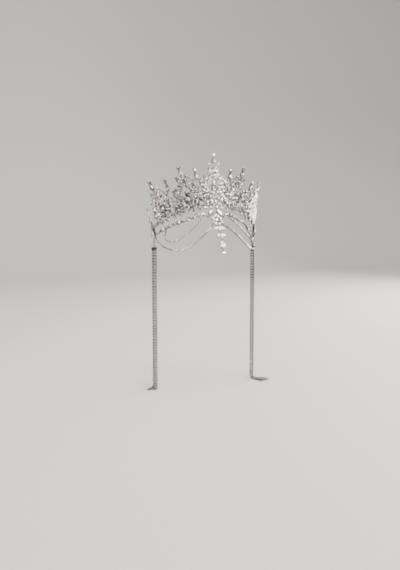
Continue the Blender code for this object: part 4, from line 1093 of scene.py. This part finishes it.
# Stage: a pale floor that sweeps up into a wall, and soft studio light
stage = {"floor": -0.2317, "colour": "B4AFAB", "size": 7.0, "front": -1.25, "back": 2.4, "wall": 4,
         "corner": 0.8, "cornerSteps": 16}
deselectAll()
bpy.ops.mesh.primitive_plane_add(size=stage["size"],
                                 location=(0, stage["back"] - stage["size"] / 2, stage["floor"]))
sweep = bpy.context.object
sweep.name = "studioSweep"
bpy.ops.object.transform_apply()
backEdge = max(vertex.co.y for vertex in sweep.data.vertices)
for vertex in sweep.data.vertices:
    vertex.co.y = max(vertex.co.y, stage["front"])


def selectEdges(chosen):
    setMode("EDIT")
    bpy.ops.mesh.select_all(action="DESELECT")
    setMode("OBJECT")
    for item in sweep.data.edges:
        item.select = all(chosen(sweep.data.vertices[v].co) for v in item.vertices)
    setMode("EDIT")


selectEdges(lambda spot: abs(spot.y - backEdge) < mm)
bpy.ops.mesh.select_mode(type="EDGE")
bpy.ops.mesh.extrude_region_move(TRANSFORM_OT_translate={"value": (0, 0, stage["wall"])})
selectEdges(lambda spot: abs(spot.y - backEdge) < mm and abs(spot.z - stage["floor"]) < mm)
bpy.ops.mesh.bevel(offset=stage["corner"], segments=stage["cornerSteps"])
setMode("OBJECT")
bpy.ops.object.shade_smooth()
paper, tree, shader, place = startMaterial("matt paper sweep")
grain = addNode(tree, "ShaderNodeTexNoise", {"Scale": 900.0}, {"Vector": place})
bump = addNode(tree, "ShaderNodeBump", {"Strength": 0.05, "Distance": 0.2 * mm},
               {"Height": grain.outputs["Fac"]})
tree.links.new(bump.outputs["Normal"], shader.inputs["Normal"])
shader.inputs["Base Color"].default_value = linearColour(stage["colour"])
shader.inputs["Roughness"].default_value = 0.9
sweep.data.materials.append(paper)

# Softboxes: place, size, watts and colour, all aimed at the crown
aim = Vector((0, 0, -0.03))
softboxes = {
    "rightBox": ((1.4, 0.4, 0.4), 1.0, 60, "FFFDFA"),
    "frontBox": ((0.75, -1.5, 0.5), 0.55, 22, "FFFFFF"),
    "leftBox": ((-1.6, -0.5, 0.3), 0.35, 6, "F6ECE4"),
    "topBox": ((0.25, -0.5, 1.7), 1.1, 62, "FFFFFF"),
}
for name, (spot, size, watts, colour) in softboxes.items():
    bpy.ops.object.light_add(type="AREA", location=spot)
    lamp = bpy.context.object
    lamp.name = name
    lamp.data.size = size
    lamp.data.energy = watts
    lamp.data.color = linearColour(colour)[:3]
    lamp.rotation_euler = (aim - Vector(spot)).to_track_quat("-Z", "Y").to_euler()

# Studio surroundings: bright bands for the metal and stones to reflect, and a plain pale background in sight
world = bpy.data.worlds.new("studio")
bpy.context.scene.world = world
world.use_nodes = True
tree = world.node_tree
direction = addNode(tree, "ShaderNodeTexCoord").outputs["Generated"]
bands = addNode(tree, "ShaderNodeTexWave", {"Scale": 1.9, "Distortion": 4.0, "Detail": 1.0},
                {"Vector": direction})
tone = addNode(tree, "ShaderNodeValToRGB", links={"Fac": bands.outputs["Color"]})
setRamp(tone, [(0.60, "0A0909"), (0.72, "FFFFFF")])
height = addNode(tree, "ShaderNodeSeparateXYZ", links={"Vector": direction}).outputs["Z"]
brightness = {"From Min": -0.1, "From Max": 0.25, "To Min": 0.05, "To Max": 3.2}
level = addNode(tree, "ShaderNodeMapRange", brightness, {"Value": height})
tree.links.new(tone.outputs["Color"], tree.nodes["Background"].inputs["Color"])
tree.links.new(level.outputs["Result"], tree.nodes["Background"].inputs["Strength"])
seen = addNode(tree, "ShaderNodeLightPath").outputs["Is Camera Ray"]
plain = addNode(tree, "ShaderNodeBackground", {"Color": linearColour("D6D1CD"), "Strength": 0.75})
mix = addNode(tree, "ShaderNodeMixShader", links={"Fac": seen})
tree.links.new(tree.nodes["Background"].outputs["Background"], mix.inputs[1])
tree.links.new(plain.outputs["Background"], mix.inputs[2])
tree.links.new(mix.outputs["Shader"], tree.nodes["World Output"].inputs["Surface"])
print("stage and lights set")
